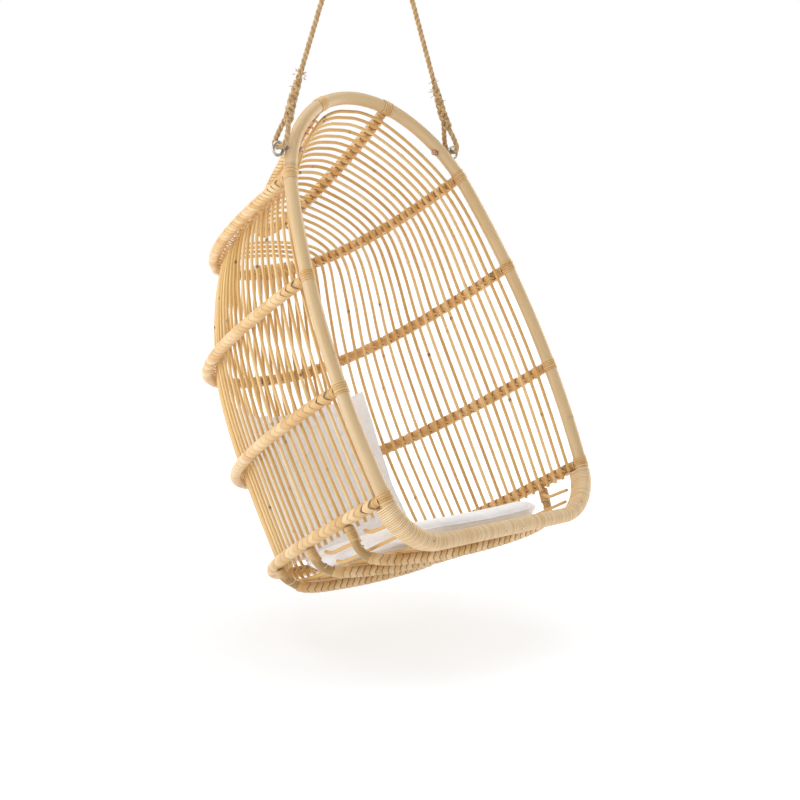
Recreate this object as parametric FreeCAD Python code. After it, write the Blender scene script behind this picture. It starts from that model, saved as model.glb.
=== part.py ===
import FreeCAD, Part
import math
import os

V = FreeCAD.Vector

# A hanging egg chair of rattan poles and thin canes, in millimetres.
# The chair is drawn upright in its own frame: X to the side, Y from the front hoop to the back, Z up
# along the hoop. It is then leaned back to the angle it hangs at, and moved under the ceiling hook.
# The origin is where the hook's screw enters the ceiling.

# hanging set
hang_tilt = 27.7
rope_diameter = 12.7
rope_lean = 21.75
hook_wire = 8.0
hook_radius = 13.0
hook_drop = 38.0
screw_length = 32.0
ring_wire = 8.0
ring_radius = 30.0
ring_spread = 24.0
eye_wire = 7.0
eye_radius = 14.5
rope_height = 665.0
rope_gap = 1.2
loop_half_width = 19.0
splice_length = 120.0

# front hoop, an egg of arcs from the middle of the front rail up to the crown
hoop_radius = 15.5
rail_height = -26.0
rail_half = 197.0
corner_radius, corner_turn = 127.0, 81.5
side_radius, side_turn = 1860.0, 23.0
shoulder_radius, shoulder_turn = 338.0, 40.5
bolt_height = 921.0
spot_face = 9.6

# ribs, from the crown down: height on the hoop, depth, fullness of the plan curve, drop to the back
rib_radius = 10.0
braid_radius = 14.0
rib_heights = [1040.0, 853.0, 606.0, 343.0, 90.0]
rib_depths = [455.0, 530.0, 655.0, 690.0, 625.0]
rib_fullness = [1.85, 2.55, 2.7, 2.4, 3.1]
rib_drops = [14.0, 0.0, 0.0, 0.0, 0.0]

# canes
cane_radius = 4.0
canes_to_centre = 31.5
crown_canes = 20
arch_count = 24
crossing_slopes = [64.0, 30.0, 0.0, 0.0, -14.0]
last_stub_cane = 21
crown_rise = 0.22
stub_length = 12.0

# seat
bar_places = [140.0, 295.0, 468.0]
bar_heights = [-31.0, -10.0, 8.0]
bar_bows = [18.0, 18.0, 10.0]
bar_corner = 52.0
bar_lift = 1.2
front_bar_radius = 11.0
wrap_thickness = 2.2
fit_gap = 0.3
pad_thickness = 44.0
back_pad_half = 222.0
back_pad_top = 500.0

parts = {}


# ---------- shared shapes ----------

def smooth_wire(points):
    """Straight runs through the points, joined by tangent arcs as large as the runs allow."""
    runs = [points[i + 1] - points[i] for i in range(len(points) - 1)]
    edges = []
    radii = []
    start = points[0]
    for i in range(1, len(points) - 1):
        before = V(runs[i - 1])
        after = V(runs[i])
        turn = before.getAngle(after)
        reach = 0.45 * min(before.Length, after.Length)
        before.normalize()
        after.normalize()
        first = points[i] - before * reach
        last = points[i] + after * reach
        radius = reach / math.tan(turn / 2)
        inward = after - before
        inward.normalize()
        middle = points[i] + inward * (radius / math.cos(turn / 2) - radius)
        edges.append(Part.LineSegment(start, first).toShape())
        edges.append(Part.Arc(first, middle, last).toShape())
        radii.append(radius)
        start = last
    edges.append(Part.LineSegment(start, points[-1]).toShape())
    return Part.Wire(edges), radii


def tube(points, radius):
    """A round pole bent along the points."""
    wire, radii = smooth_wire(points)
    return pipe(wire, points[0], points[1] - points[0], radius)


def pipe(wire, start, heading, radius):
    circle = Part.Wire([Part.Circle(start, heading, radius).toShape()])
    return wire.makePipeShell([circle], True, False)


def sleeve(points, outer, inner):
    return tube(points, outer).cut(tube(points, inner))


def ring(centre, axis, radius, wire_radius):
    return Part.makeTorus(radius, wire_radius, centre, axis)


def mirrored(shape):
    return shape.mirror(V(0, 0, 0), V(1, 0, 0))


def lean_back(shape):
    """From the chair's upright frame to the way it hangs under the hook."""
    shape = shape.copy()
    shape.rotate(V(0, 0, 0), V(1, 0, 0), -hang_tilt)
    tilt = math.radians(hang_tilt)
    shape.translate(V(0, -bolt_height * math.sin(tilt), eye_z - bolt_height * math.cos(tilt)))
    return shape


def add(name, solids, leaned=True):
    shape = solids[0] if len(solids) == 1 else Part.makeCompound(solids)
    parts[name] = lean_back(shape) if leaned else shape


# ---------- heights of the hanging set ----------

lean = math.radians(rope_lean)
spread = math.radians(ring_spread)
hook_bottom = -hook_drop - hook_radius
ring_top = hook_bottom + hook_wire / 2 + ring_wire / 2 + fit_gap
ring_centre = ring_top - ring_radius
upper_x = ring_radius * math.sin(spread)
upper_z = ring_centre - ring_radius * math.cos(spread)
lower_z = upper_z - rope_height
lower_x = upper_x + rope_height * math.tan(lean)
eye_x = lower_x + eye_radius * math.sin(lean)
eye_z = lower_z - eye_radius * math.cos(lean)


# ---------- front hoop ----------

def hoop_arcs():
    """The hoop's right half as (centre x, centre z, radius, start heading, turn) in its plane."""
    x, z, heading = rail_half, rail_height, 0.0
    arcs = []
    crown_turn = 180.0 - corner_turn - side_turn - shoulder_turn
    for radius, turn in ((corner_radius, corner_turn), (side_radius, side_turn),
                         (shoulder_radius, shoulder_turn), (None, crown_turn)):
        a = math.radians(heading)
        if radius is None:
            radius = x / math.sin(math.radians(turn))
        cx = x - radius * math.sin(a)
        cz = z + radius * math.cos(a)
        arcs.append((cx, cz, radius, heading, turn))
        heading += turn
        b = math.radians(heading)
        x = cx + radius * math.sin(b)
        z = cz - radius * math.cos(b)
    return arcs


arcs = hoop_arcs()


def on_arc(arc, share):
    cx, cz, radius, heading, turn = arc
    a = math.radians(heading + turn * share)
    return V(cx + radius * math.sin(a), 0, cz - radius * math.cos(a))


def hoop_half_width(height):
    """Half the hoop's width at a height, measured to the pole's middle."""
    for arc in arcs:
        cx, cz, radius, heading, turn = arc
        low, high = on_arc(arc, 0).z, on_arc(arc, 1).z
        if low <= height <= high:
            return cx + math.sqrt(radius ** 2 - (height - cz) ** 2)
    return 0.0


def hoop_path(start_height=None):
    """The hoop's wire. With a height, only the rail and the sides up to that height."""
    right = []
    for arc in arcs:
        cx, cz, radius, heading, turn = arc
        share = 1.0
        if start_height is not None and on_arc(arc, 1).z > start_height:
            a = math.degrees(math.acos((cz - start_height) / radius))
            share = (a - heading) / turn
        right.append(Part.Arc(on_arc(arc, 0), on_arc(arc, share / 2), on_arc(arc, share)).toShape())
        if share < 1.0:
            break
    rail = Part.LineSegment(V(-rail_half, 0, rail_height), V(rail_half, 0, rail_height)).toShape()
    left = [mirrored(edge) for edge in right]
    return Part.Wire(Part.__sortEdges__(left + [rail] + right))


def half_hoop(radius):
    right = [Part.LineSegment(V(0, 0, rail_height), V(rail_half, 0, rail_height)).toShape()]
    right += [Part.Arc(on_arc(a, 0), on_arc(a, 0.5), on_arc(a, 1)).toShape() for a in arcs]
    return pipe(Part.Wire(right), V(0, 0, rail_height), V(1, 0, 0), radius)


hoop = half_hoop(hoop_radius)
hoop = hoop.fuse(mirrored(hoop)).removeSplitter()
bolt_x = hoop_half_width(bolt_height)
washer_place = hoop_radius + 1.6
for side in (-1, 1):
    hoop = hoop.cut(Part.makeCylinder(4.3, 80, V(side * (bolt_x - 40), 0, bolt_height), V(side, 0, 0)))
    for face in (-1, 1):
        seat = V(side * (bolt_x + face * (washer_place - 0.1)), 0, bolt_height)
        hoop = hoop.cut(Part.makeCylinder(spot_face, 30, seat, V(side * face, 0, 0)))
add("front_hoop", [hoop])


# ---------- ribs and their braid ----------

def plan_point(level, angle, inset=0.0):
    """A point of a rib's plan curve. Angle 0 is on the hoop's right side and 90 at the back."""
    half = hoop_half_width(rib_heights[level]) - inset
    depth = rib_depths[level] - inset
    power = 2.0 / rib_fullness[level]
    a = math.radians(angle)
    side = half * math.copysign(abs(math.cos(a)) ** power, math.cos(a))
    back = depth * abs(math.sin(a)) ** power
    drop = math.radians(rib_drops[level])
    return V(side, back * math.cos(drop), rib_heights[level] - back * math.sin(drop))


def plan_curve(level, inset=0.0, steps=360):
    return [plan_point(level, 90.0 * i / steps, inset) for i in range(steps + 1)]


def at_share(curve, share):
    """The point at a share of the way along a curve given as many close points."""
    lengths = [0.0]
    for i in range(1, len(curve)):
        lengths.append(lengths[-1] + (curve[i] - curve[i - 1]).Length)
    goal = share * lengths[-1]
    for i in range(1, len(curve)):
        if lengths[i] >= goal:
            part = (goal - lengths[i - 1]) / (lengths[i] - lengths[i - 1])
            return curve[i - 1] + (curve[i] - curve[i - 1]) * part
    return curve[-1]


def rib_points(level, start):
    """The rib's whole U, starting a given distance behind the hoop, at even steps."""
    curve = [p for p in plan_curve(level) if p.y >= start]
    half = [at_share(curve, i / 16.5) for i in range(17)]
    return half + [V(-p.x, p.y, p.z) for p in reversed(half)]


for level in range(5):
    number = level + 1
    rib = tube(rib_points(level, hoop_radius + fit_gap + 0.8), rib_radius)
    add("rib_%d" % number, [rib])
    add("rib_%d_braid" % number, [sleeve(rib_points(level, 34.0), braid_radius, rib_radius + fit_gap)])


# ---------- bindings that hold the ribs to the hoop ----------

def hoop_band(level, length):
    """A short band of peel round the hoop where a rib meets it."""
    height = rib_heights[level]
    x = hoop_half_width(height)
    step = hoop_half_width(height + 1.0) - x
    along = V(step, 0, 1.0)
    along.normalize()
    foot = V(x, 0, height) - along * (length / 2)
    band = Part.makeCylinder(hoop_radius + wrap_thickness, length, foot, along)
    return band.cut(Part.makeCylinder(hoop_radius + fit_gap, length, foot, along))


bands = []
for level in range(4):
    band = hoop_band(level, 26.0)
    band = band.cut(tube(rib_points(level, hoop_radius + fit_gap + 0.8), rib_radius + fit_gap))
    bands += [band, mirrored(band)]
add("rib_bindings", bands)


# ---------- cane arches ----------

bend_allowance = 2.4
cane_inset = braid_radius + cane_radius + bend_allowance
rib_curves = [plan_curve(level) for level in range(5)]


def beside(level, share, inset):
    """The point at a share of a rib's half, moved square to the rib towards the seat."""
    here = at_share(rib_curves[level], share)
    ahead = at_share(rib_curves[level], min(share + 0.01, 1.0))
    behind = at_share(rib_curves[level], max(share - 0.01, 0.0))
    along = ahead - behind
    if share > 0.99:
        along = V(-1, 0, 0)
    along.normalize()
    inward = V(0, 0, 1).cross(along)
    inward.normalize()
    return here + inward * inset


def crossing(cane, level):
    """Where a cane lies against the inside of a rib."""
    slope = math.radians(crossing_slopes[level])
    if level == 4 and cane <= last_stub_cane:
        slope = 0.0
    if level == 1 and cane > arch_count:
        slope *= 0.5
    share = cane / (crown_canes + 3.0) if level == 0 else cane / canes_to_centre
    return beside(level, share, cane_inset * math.cos(slope)) - V(0, 0, cane_inset * math.sin(slope))


def between(a, b, c, d):
    """The point halfway from b to c on a smooth curve through a, b, c and d."""
    return (b + c) * (9.0 / 16.0) - (a + d) * (1.0 / 16.0)


def with_middles(points):
    """The points with one more between each two, for a rounder curve."""
    full = [points[0]]
    for i in range(len(points) - 1):
        a = points[max(i - 1, 0)]
        d = points[min(i + 2, len(points) - 1)]
        full.append(between(a, points[i], points[i + 1], d))
        full.append(points[i + 1])
    return full


def bar_end(index):
    """Where a seat bar meets the lowest rib, measured out from the middle."""
    return min(plan_curve(4), key=lambda p: abs(p.y - bar_places[index])).x


def bar_rise(index, x):
    """How far a seat bar, which sags towards its middle, has risen at x."""
    return bar_bows[index] * (x / (bar_end(index) - bar_corner)) ** 2


def seat_run(cane):
    """The stretch from the front rail, over the seat bars and up to the lowest rib."""
    foot = crossing(cane, 4)
    points = [V(foot.x, 43.0, rail_height + 3.5)]
    for index in range(3):
        height = bar_heights[index] + bar_rise(index, foot.x) + bar_lift
        if bar_places[index] < foot.y - 40.0:
            points.append(V(foot.x, bar_places[index], height + cane_inset))
    last = bar_heights[2] + bar_rise(2, foot.x) + bar_lift + cane_inset
    points.append(V(foot.x, foot.y - 50.0, last + 5.0))
    points.append(V(foot.x, foot.y - 9.0, max(last + 20.0, bar_heights[2] + cane_inset + 30.0)))
    return points


def arch_top(cane):
    """The stretch above rib 2, up to the middle of the arch."""
    low = crossing(cane, 1)
    if cane <= crown_canes:
        side = crossing(cane, 0)
        crown = V(0, side.y + 0.05 * (side.y - low.y), side.z + crown_rise * side.x)
        return [low, side, crown]
    high = V(0, rib_curves[0][-1].y - 12.0, rib_curves[0][-1].z - 20.0)
    centre = crossing(canes_to_centre, 1)
    share = 0.62 * (cane - crown_canes) / (arch_count + 1 - crown_canes)
    crown = high + (centre - high) * share
    top = []
    for angle in (0, 30, 60, 90):
        a = math.radians(angle)
        rise = math.sin(a) ** 0.8
        top.append(V(low.x * math.cos(a) ** 0.8, low.y + (crown.y - low.y) * rise,
                     low.z + (crown.z - low.z) * rise))
    return top


def cane_path(cane):
    """A cane's right half, from its foot to the middle of its arch or its end above rib 2."""
    sides = [crossing(cane, level) for level in (4, 3, 2)]
    if cane <= last_stub_cane:
        foot = [sides[0] - V(0, 0, braid_radius + stub_length if cane > 1 else 9.0)]
    else:
        foot = seat_run(cane)
    if cane > arch_count:
        low = crossing(cane, 1)
        return foot, with_middles(sides + [low]) + [low + V(0, -1, braid_radius + stub_length)]
    if cane <= crown_canes:
        return foot, with_middles(sides + arch_top(cane))
    top = arch_top(cane)
    return foot, with_middles(sides + [top[0]]) + top[1:]


for cane in range(1, arch_count + 1):
    foot, climb = cane_path(cane)
    half = foot + climb
    whole = half + [V(-p.x, p.y, p.z) for p in reversed(half[:-1])]
    add("cane_arch_%02d" % cane, [tube(whole, cane_radius)])

back_canes = []
for cane in range(arch_count + 1, 32):
    foot, climb = cane_path(cane)
    single = tube(foot + climb, cane_radius)
    back_canes += [single, mirrored(single)]
add("centre_back_canes", back_canes)


# ---------- seat frame ----------

def bar_points(index):
    """A seat bar's U, hung under the lowest rib and sagging towards its middle."""
    place = bar_places[index]
    height = bar_heights[index]
    bow = bar_bows[index]
    x = bar_end(index)
    top = rib_heights[4] - braid_radius - fit_gap - rib_radius * 0.1
    corner = x - bar_corner
    right = [V(x, place, top), V(x - 7.0, place, height + 44.0), V(corner, place, height + bow),
             V(corner / 2, place, height + bow / 4)]
    return [V(-p.x, p.y, p.z) for p in right] + [V(0, place, height)] + list(reversed(right))


def bar_braid(index):
    """The braided sleeve along the bottom of a seat bar."""
    half = bar_end(index) - bar_corner - 26.0
    whole = sleeve(bar_points(index), braid_radius - 0.5, rib_radius + fit_gap)
    reach = Part.makeBox(2 * half, 60.0, 120.0, V(-half, bar_places[index] - 30.0, bar_heights[index] - 60.0))
    return whole.common(reach)


def bar_wrap(index):
    """Peel wound round the upper end of a seat bar."""
    top, middle = bar_points(index)[:2]
    along = middle - top
    along.normalize()
    start = top + along * 0.5
    length = min(24.0, 0.5 * (middle - top).Length)
    wrap = Part.makeCylinder(rib_radius + wrap_thickness, length, start, along)
    return wrap.cut(Part.makeCylinder(rib_radius + fit_gap, length, start, along))


wraps = []
for index in range(3):
    number = index + 1
    bar = tube(bar_points(index), rib_radius)
    add("seat_bar_%d" % number, [bar])
    add("seat_bar_%d_braid" % number, bar_braid(index).Solids)
    wrap = bar_wrap(index)
    wraps += [wrap, mirrored(wrap)]
add("seat_bar_wraps", wraps)

front_bar_place = hoop_radius + front_bar_radius + fit_gap
bar_top = rib_heights[4] - braid_radius - fit_gap
front_wire = hoop_path(bar_top)
start = front_wire.OrderedVertexes[0].Point
heading = front_wire.OrderedEdges[0]
tangent = heading.tangentAt(heading.FirstParameter)
front_bar = pipe(front_wire, start, tangent, front_bar_radius)
front_bar.translate(V(0, front_bar_place, 0))
add("front_seat_bar", [front_bar])


def wrap_section(start, tangent, grow):
    """The outline round the hoop and the front bar together, square to the hoop."""
    across = V(0, 1, 0)
    out = tangent.cross(across)
    out.normalize()
    big = hoop_radius + grow
    small = front_bar_radius + grow
    back = start + across * front_bar_place
    corners = [start + out * big, back + out * small, back - out * small, start - out * big]
    return Part.Wire([
        Part.LineSegment(corners[0], corners[1]).toShape(),
        Part.Arc(corners[1], back + across * small, corners[2]).toShape(),
        Part.LineSegment(corners[2], corners[3]).toShape(),
        Part.Arc(corners[3], start - across * big, corners[0]).toShape()])


wrap_wire = hoop_path(bar_top - 1.0)
start = wrap_wire.OrderedVertexes[0].Point
heading = wrap_wire.OrderedEdges[0]
tangent = heading.tangentAt(heading.FirstParameter)
outer = wrap_wire.makePipeShell([wrap_section(start, tangent, wrap_thickness)], True, False)
inner = wrap_wire.makePipeShell([wrap_section(start, tangent, fit_gap)], True, False)
add("front_rail_wrap", [outer.cut(inner)])


# ---------- side seat canes, each hooked up under the lowest rib ----------

def side_cane(place, height, begin, end):
    """A short cane along the side of the seat, its back end turned up."""
    points = [V(place, begin, height - 3.0), V(place + 2.0, (begin + end) / 2, height),
              V(place + 1.0, end - 12.0, height + 1.0), V(place + 1.0, end, height + 12.0)]
    return tube(points, cane_radius)


side_canes = []
for place, height, begin, end in ((296.0, 44.0, 46.0, 122.0), (287.0, 46.0, 158.0, 277.0),
                                  (276.0, 17.0, 46.0, 262.0)):
    single = side_cane(place, height, begin, end)
    side_canes += [single, mirrored(single)]
add("side_seat_canes", side_canes)


# ---------- cushions ----------

def pad_slice(x, half_y, thick):
    """A slice of the seat cushion across its thickness, its underside on the canes."""
    rise = bar_rise(1, x) + (pad_thickness - thick) / 2
    corner = 0.32 * thick
    edge = [(corner, 0), (3.0, 7.0), (0, thick / 2), (3.0, thick - 7.0), (corner, thick)]
    outline = [V(x, middle + half_y - inset, rise + height) for inset, height in edge]
    outline += [V(x, middle - half_y + inset, rise + height) for inset, height in reversed(edge)]
    return Part.makePolygon(outline + outline[:1])


seat_front, seat_back = 24.0, 498.0
seat_half = 246.0
seat_slope = math.atan2(bar_heights[2] - bar_heights[0], bar_places[2] - bar_places[0])
seat_rise = bar_heights[0] + cane_inset + cane_radius + 4.0
middle = (seat_front + seat_back) / 2
slices = []
for share, thick in ((-1, 0.5), (-0.95, 0.85), (-0.82, 1), (-0.6, 1), (-0.3, 1), (0, 1), (0.3, 1), (0.6, 1),
                     (0.82, 1), (0.95, 0.85), (1, 0.5)):
    full = max(0.3, (1 - abs(share) ** 3.1)) ** (1 / 3.1)
    slices.append(pad_slice(seat_half * share, (middle - seat_front) * full, pad_thickness * thick))
seat_pad = Part.makeLoft(slices, True, True)
seat_pad.rotate(V(0, bar_places[0], 0), V(1, 0, 0), math.degrees(seat_slope))
seat_pad.translate(V(0, 0, seat_rise + bar_lift))
add("seat_cushion", [seat_pad])


def between_ribs(height, inset):
    """Half width, depth and fullness of the plan at any height between ribs 5 and 3."""
    for low, high in ((4, 3), (3, 2)):
        if height <= rib_heights[high]:
            break
    share = (height - rib_heights[low]) / (rib_heights[high] - rib_heights[low])
    depth = rib_depths[low] + (rib_depths[high] - rib_depths[low]) * share
    full = rib_fullness[low] + (rib_fullness[high] - rib_fullness[low]) * share
    return hoop_half_width(height) - inset, depth - inset, full


def crescent(height, front_inset, back_inset, half):
    """A slice of the back cushion: a curved pad against the inside of the canes."""
    wide, deep, full = between_ribs(height, back_inset)
    end_angle = math.degrees(math.acos((half / wide) ** (full / 2)))
    sides = []
    for inset in (back_inset, front_inset):
        wide, deep, full = between_ribs(height, inset)
        line = []
        for i in range(9):
            a = math.radians(end_angle + (180.0 - 2 * end_angle) * i / 8)
            x = wide * math.copysign(abs(math.cos(a)) ** (2 / full), math.cos(a))
            line.append(V(x, deep * math.sin(a) ** (2 / full), height))
        sides.append(line)
    back = Part.BSplineCurve()
    back.interpolate(sides[0])
    front = Part.BSplineCurve()
    front.interpolate(list(reversed(sides[1])))
    return Part.Wire([back.toShape(), Part.LineSegment(sides[0][-1], sides[1][-1]).toShape(),
                      front.toShape(), Part.LineSegment(sides[1][0], sides[0][0]).toShape()])


back_inset = cane_inset + cane_radius + 4.5
slices = []
for height in (97.0, 230.0, rib_heights[3], back_pad_top):
    slices.append(crescent(height, back_inset + pad_thickness, back_inset, back_pad_half))
add("back_cushion", [Part.makeLoft(slices, True, True)])


# ---------- eye bolts through the hoop ----------

def right_eye_bolt():
    """Threaded eye bolt, with the eye upright outside the hoop and the shank through it."""
    shank_end = bolt_x - hoop_radius - 13.0
    shank = Part.makeCylinder(4.0, eye_x - eye_radius - shank_end, V(shank_end, 0, eye_z), V(1, 0, 0))
    return ring(V(eye_x, 0, eye_z), V(0, 1, 0), eye_radius, eye_wire / 2).fuse(shank)


def hoop_side(side, radius, thickness):
    """A disc on the shank, beyond the hoop's outside (side 1) or inside (side -1)."""
    start = bolt_x + side * washer_place
    disc = Part.makeCylinder(radius, thickness, V(start, 0, eye_z), V(side, 0, 0))
    return disc.cut(Part.makeCylinder(4.15, 40, V(start - side * 5, 0, eye_z), V(side, 0, 0)))


def right_cap_nut():
    start = bolt_x - washer_place - 1.8
    nut = Part.makeCylinder(6.5, 6.5, V(start, 0, eye_z), V(-1, 0, 0))
    dome = Part.makeSphere(6.5, V(start - 6.5, 0, eye_z))
    body = nut.fuse(dome)
    return body.cut(Part.makeCylinder(4.15, 10.5, V(start, 0, eye_z), V(-1, 0, 0)))


bolt = right_eye_bolt()
add("eye_bolt_right", [bolt], False)
add("eye_bolt_left", [mirrored(bolt)], False)
washers = [hoop_side(1, 9.0, 1.5), hoop_side(-1, 8.0, 1.5)]
add("bolt_washers", washers + [mirrored(w) for w in washers], False)
nut = right_cap_nut()
add("cap_nuts", [nut, mirrored(nut)], False)


# ---------- ropes ----------

lower_stop = rope_diameter / 2 + rope_gap + eye_wire / 2
upper_stop = rope_diameter / 2 + rope_gap + ring_wire / 2
rope_top = rope_height / math.cos(lean)


def on_rope(along, across):
    """A point beside the right rope's line: along it upwards from the lower eye, and across it."""
    return V(lower_x - along * math.sin(lean), across, lower_z + along * math.cos(lean))


def rope_route():
    """The eye round the bolt's eye, the straight rope, and the eye round the ring."""
    width = loop_half_width
    low = -lower_stop
    high = rope_top + upper_stop
    return [on_rope(low + 56, 9.5), on_rope(low + 28, width), on_rope(low, width), on_rope(low, -width),
            on_rope(low + 30, -width), on_rope(low + 84, 0),
            on_rope(high - 84, 0), on_rope(high - 30, width), on_rope(high, width),
            on_rope(high, -width), on_rope(high - 28, -width), on_rope(high - 56, -9.5)]


route = rope_route()
rope_wire, rope_radii = smooth_wire(route)
rope = pipe(rope_wire, route[0], route[1] - route[0], rope_diameter / 2)
add("rope_right", [rope], False)
add("rope_left", [mirrored(rope)], False)
print("rope arcs", [round(r, 1) for r in rope_radii], "length", round(rope_wire.Length, 1))
print("rope volume over section times length",
      round(rope.Volume / (math.pi * rope_diameter ** 2 / 4 * rope_wire.Length), 4))
print("rope route in metres, right side")
for point in route:
    print("   (%.4f, %.4f, %.4f)" % (point.x / 1000, point.y / 1000, point.z / 1000))


def splice(begin, end):
    """The thick stretch where the rope's strands are tucked back into it, tapering to its end."""
    a, b = on_rope(begin, 0), on_rope(end, 0)
    along = b - a
    length = along.Length
    cone = Part.makeCone(11.0, 8.2, length, a, along)
    return cone.cut(Part.makeCylinder(rope_diameter / 2 + 0.15, length + 2, a - along * (1 / length), along))


low_splice = splice(-lower_stop + 84, -lower_stop + 84 + splice_length)
high_splice = splice(rope_top + upper_stop - 84, rope_top + upper_stop - 84 - splice_length)
add("rope_splices", [low_splice, high_splice, mirrored(low_splice), mirrored(high_splice)], False)


# ---------- ring and ceiling hook ----------

add("hanging_ring", [ring(V(0, 0, ring_centre), V(0, 1, 0), ring_radius, ring_wire / 2)], False)


def hook_shape():
    """A screw hook: threaded shank above the ceiling line, collar, neck and open hook."""
    half = hook_radius / 2
    neck = hook_drop - hook_radius - 9.0
    side_z = -neck - hook_radius
    points = [V(0, 0, 0), V(0, 0, -neck)]
    edges = [Part.LineSegment(points[0], points[1]).toShape()]
    r = math.sqrt(0.5) * half
    edges.append(Part.Arc(points[1], V(0, half - r, -neck - r), V(0, half, -neck - half)).toShape())
    edges.append(Part.Arc(V(0, half, -neck - half), V(0, half + r, side_z + r), V(0, 2 * half, side_z)).toShape())
    edges.append(Part.LineSegment(V(0, hook_radius, side_z), V(0, hook_radius, -hook_drop)).toShape())
    edges.append(Part.Arc(V(0, hook_radius, -hook_drop), V(0, 0, hook_bottom),
                          V(0, -hook_radius, -hook_drop)).toShape())
    edges.append(Part.LineSegment(V(0, -hook_radius, -hook_drop), V(0, -hook_radius, 10 - hook_drop)).toShape())
    body = pipe(Part.Wire(edges), V(0, 0, 0), V(0, 0, -1), hook_wire / 2)
    tip = Part.makeSphere(hook_wire / 2, V(0, -hook_radius, 10 - hook_drop))
    collar = Part.makeCylinder(11.0, 3.0, V(0, 0, -3), V(0, 0, 1))
    screw = Part.makeCylinder(hook_wire / 2, screw_length - 8, V(0, 0, 0), V(0, 0, 1))
    point = Part.makeCone(hook_wire / 2, 0.6, 8, V(0, 0, screw_length - 8), V(0, 0, 1))
    return body.fuse([tip, collar, screw, point]).removeSplitter()


add("ceiling_hook", [hook_shape()], False)


# ---------- output ----------

os.makedirs("parts", exist_ok=True)
for name, shape in parts.items():
    solids = shape.Solids
    if not shape.isValid() or any(s.Volume <= 0 for s in solids):
        print("check this node:", name, shape.isValid(), [round(s.Volume) for s in solids])
    shape.exportStep("parts/%s.step" % name)
print(len(parts), "nodes,", sum(len(s.Solids) for s in parts.values()), "solids")
print("pivots: upper %.4f, lower %.4f at x %.4f, eye x %.4f z %.4f" % (
    upper_z / 1000, lower_z / 1000, lower_x / 1000, eye_x / 1000, eye_z / 1000))
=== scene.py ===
import math
import bpy
import numpy as np
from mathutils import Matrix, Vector
from mathutils.bvhtree import BVHTree


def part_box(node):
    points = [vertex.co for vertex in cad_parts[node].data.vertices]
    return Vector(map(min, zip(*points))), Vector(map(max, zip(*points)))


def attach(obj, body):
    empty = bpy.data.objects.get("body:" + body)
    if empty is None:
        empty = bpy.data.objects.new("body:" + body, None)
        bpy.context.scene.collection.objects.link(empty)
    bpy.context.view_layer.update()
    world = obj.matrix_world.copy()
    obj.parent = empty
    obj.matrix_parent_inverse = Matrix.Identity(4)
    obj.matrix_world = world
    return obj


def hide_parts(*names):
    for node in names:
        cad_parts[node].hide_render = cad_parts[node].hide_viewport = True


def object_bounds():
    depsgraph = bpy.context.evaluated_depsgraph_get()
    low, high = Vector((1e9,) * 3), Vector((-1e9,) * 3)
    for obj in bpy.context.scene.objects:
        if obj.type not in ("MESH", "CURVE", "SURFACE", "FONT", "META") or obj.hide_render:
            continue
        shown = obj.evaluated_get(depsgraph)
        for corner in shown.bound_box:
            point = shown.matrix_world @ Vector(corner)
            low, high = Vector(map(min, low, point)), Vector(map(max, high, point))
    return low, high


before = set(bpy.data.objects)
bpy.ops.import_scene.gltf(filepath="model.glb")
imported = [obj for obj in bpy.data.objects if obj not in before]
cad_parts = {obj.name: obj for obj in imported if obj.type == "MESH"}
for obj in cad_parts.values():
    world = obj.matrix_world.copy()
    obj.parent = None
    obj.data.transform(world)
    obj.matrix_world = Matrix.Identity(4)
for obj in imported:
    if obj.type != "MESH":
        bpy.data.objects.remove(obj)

cadLow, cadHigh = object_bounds()
draw = np.random.default_rng(11)    # every random choice below comes from this one source


# stage

shot = {
    "eye": (-2.660, -2.805, -0.882),
    "aim": (-0.0268, -0.1281, -1.356),
    "lens": 72.98,          # mm on a 36 mm sensor
    "floorDrop": 0.10,      # floor below the lowest point of the chair, m
    "floorHalf": 14.0,      # half of the floor's side, m
    "floorColour": "#959595",
    "floorGlow": (0.66, 1.02),      # its own light under the chair and far away
    "glowReach": (0.35, 1.25),      # m from the middle, where the glow changes
    "sky": 0.45,            # light from all round
    "lampAim": (0, 0, -1.35),       # the middle of the chair, which every lamp faces
}
lamps = {   # name: (place, size m, watts, colour)
    "overhead": ((-0.3, 0.2, 1.5), 3.2, 52.0, "#FFFFFF"),
    "leftWall": ((-3.2, 1.3, -0.5), 2.6, 66.0, "#FFFFFF"),
    "rightWall": ((2.6, -0.2, -0.9), 2.6, 52.0, "#FFFFFF"),
    "behind": ((1.6, 3.2, -1.0), 2.8, 32.0, "#FFFFFF"),
    "frontFill": ((-0.4, -3.6, -1.0), 2.4, 3.0, "#FFFFFF"),
}


def linear(hexText):
    # sRGB hex to the linear values that Blender works in
    parts = [int(hexText[i:i + 2], 16) / 255 for i in (1, 3, 5)]
    return [c / 12.92 if c <= 0.04045 else ((c + 0.055) / 1.055) ** 2.4 for c in parts] + [1.0]


def addNode(tree, kind, settings=(), links=()):
    # a node of that kind, with its settings and the sockets that feed it
    made = tree.nodes.new(kind)
    for name, value in dict(settings).items():
        if isinstance(name, str) and hasattr(made, name):
            setattr(made, name, value)
        else:
            made.inputs[name].default_value = value
    for name, source in dict(links).items():
        tree.links.new(source, made.inputs[name])
    return made


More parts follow.
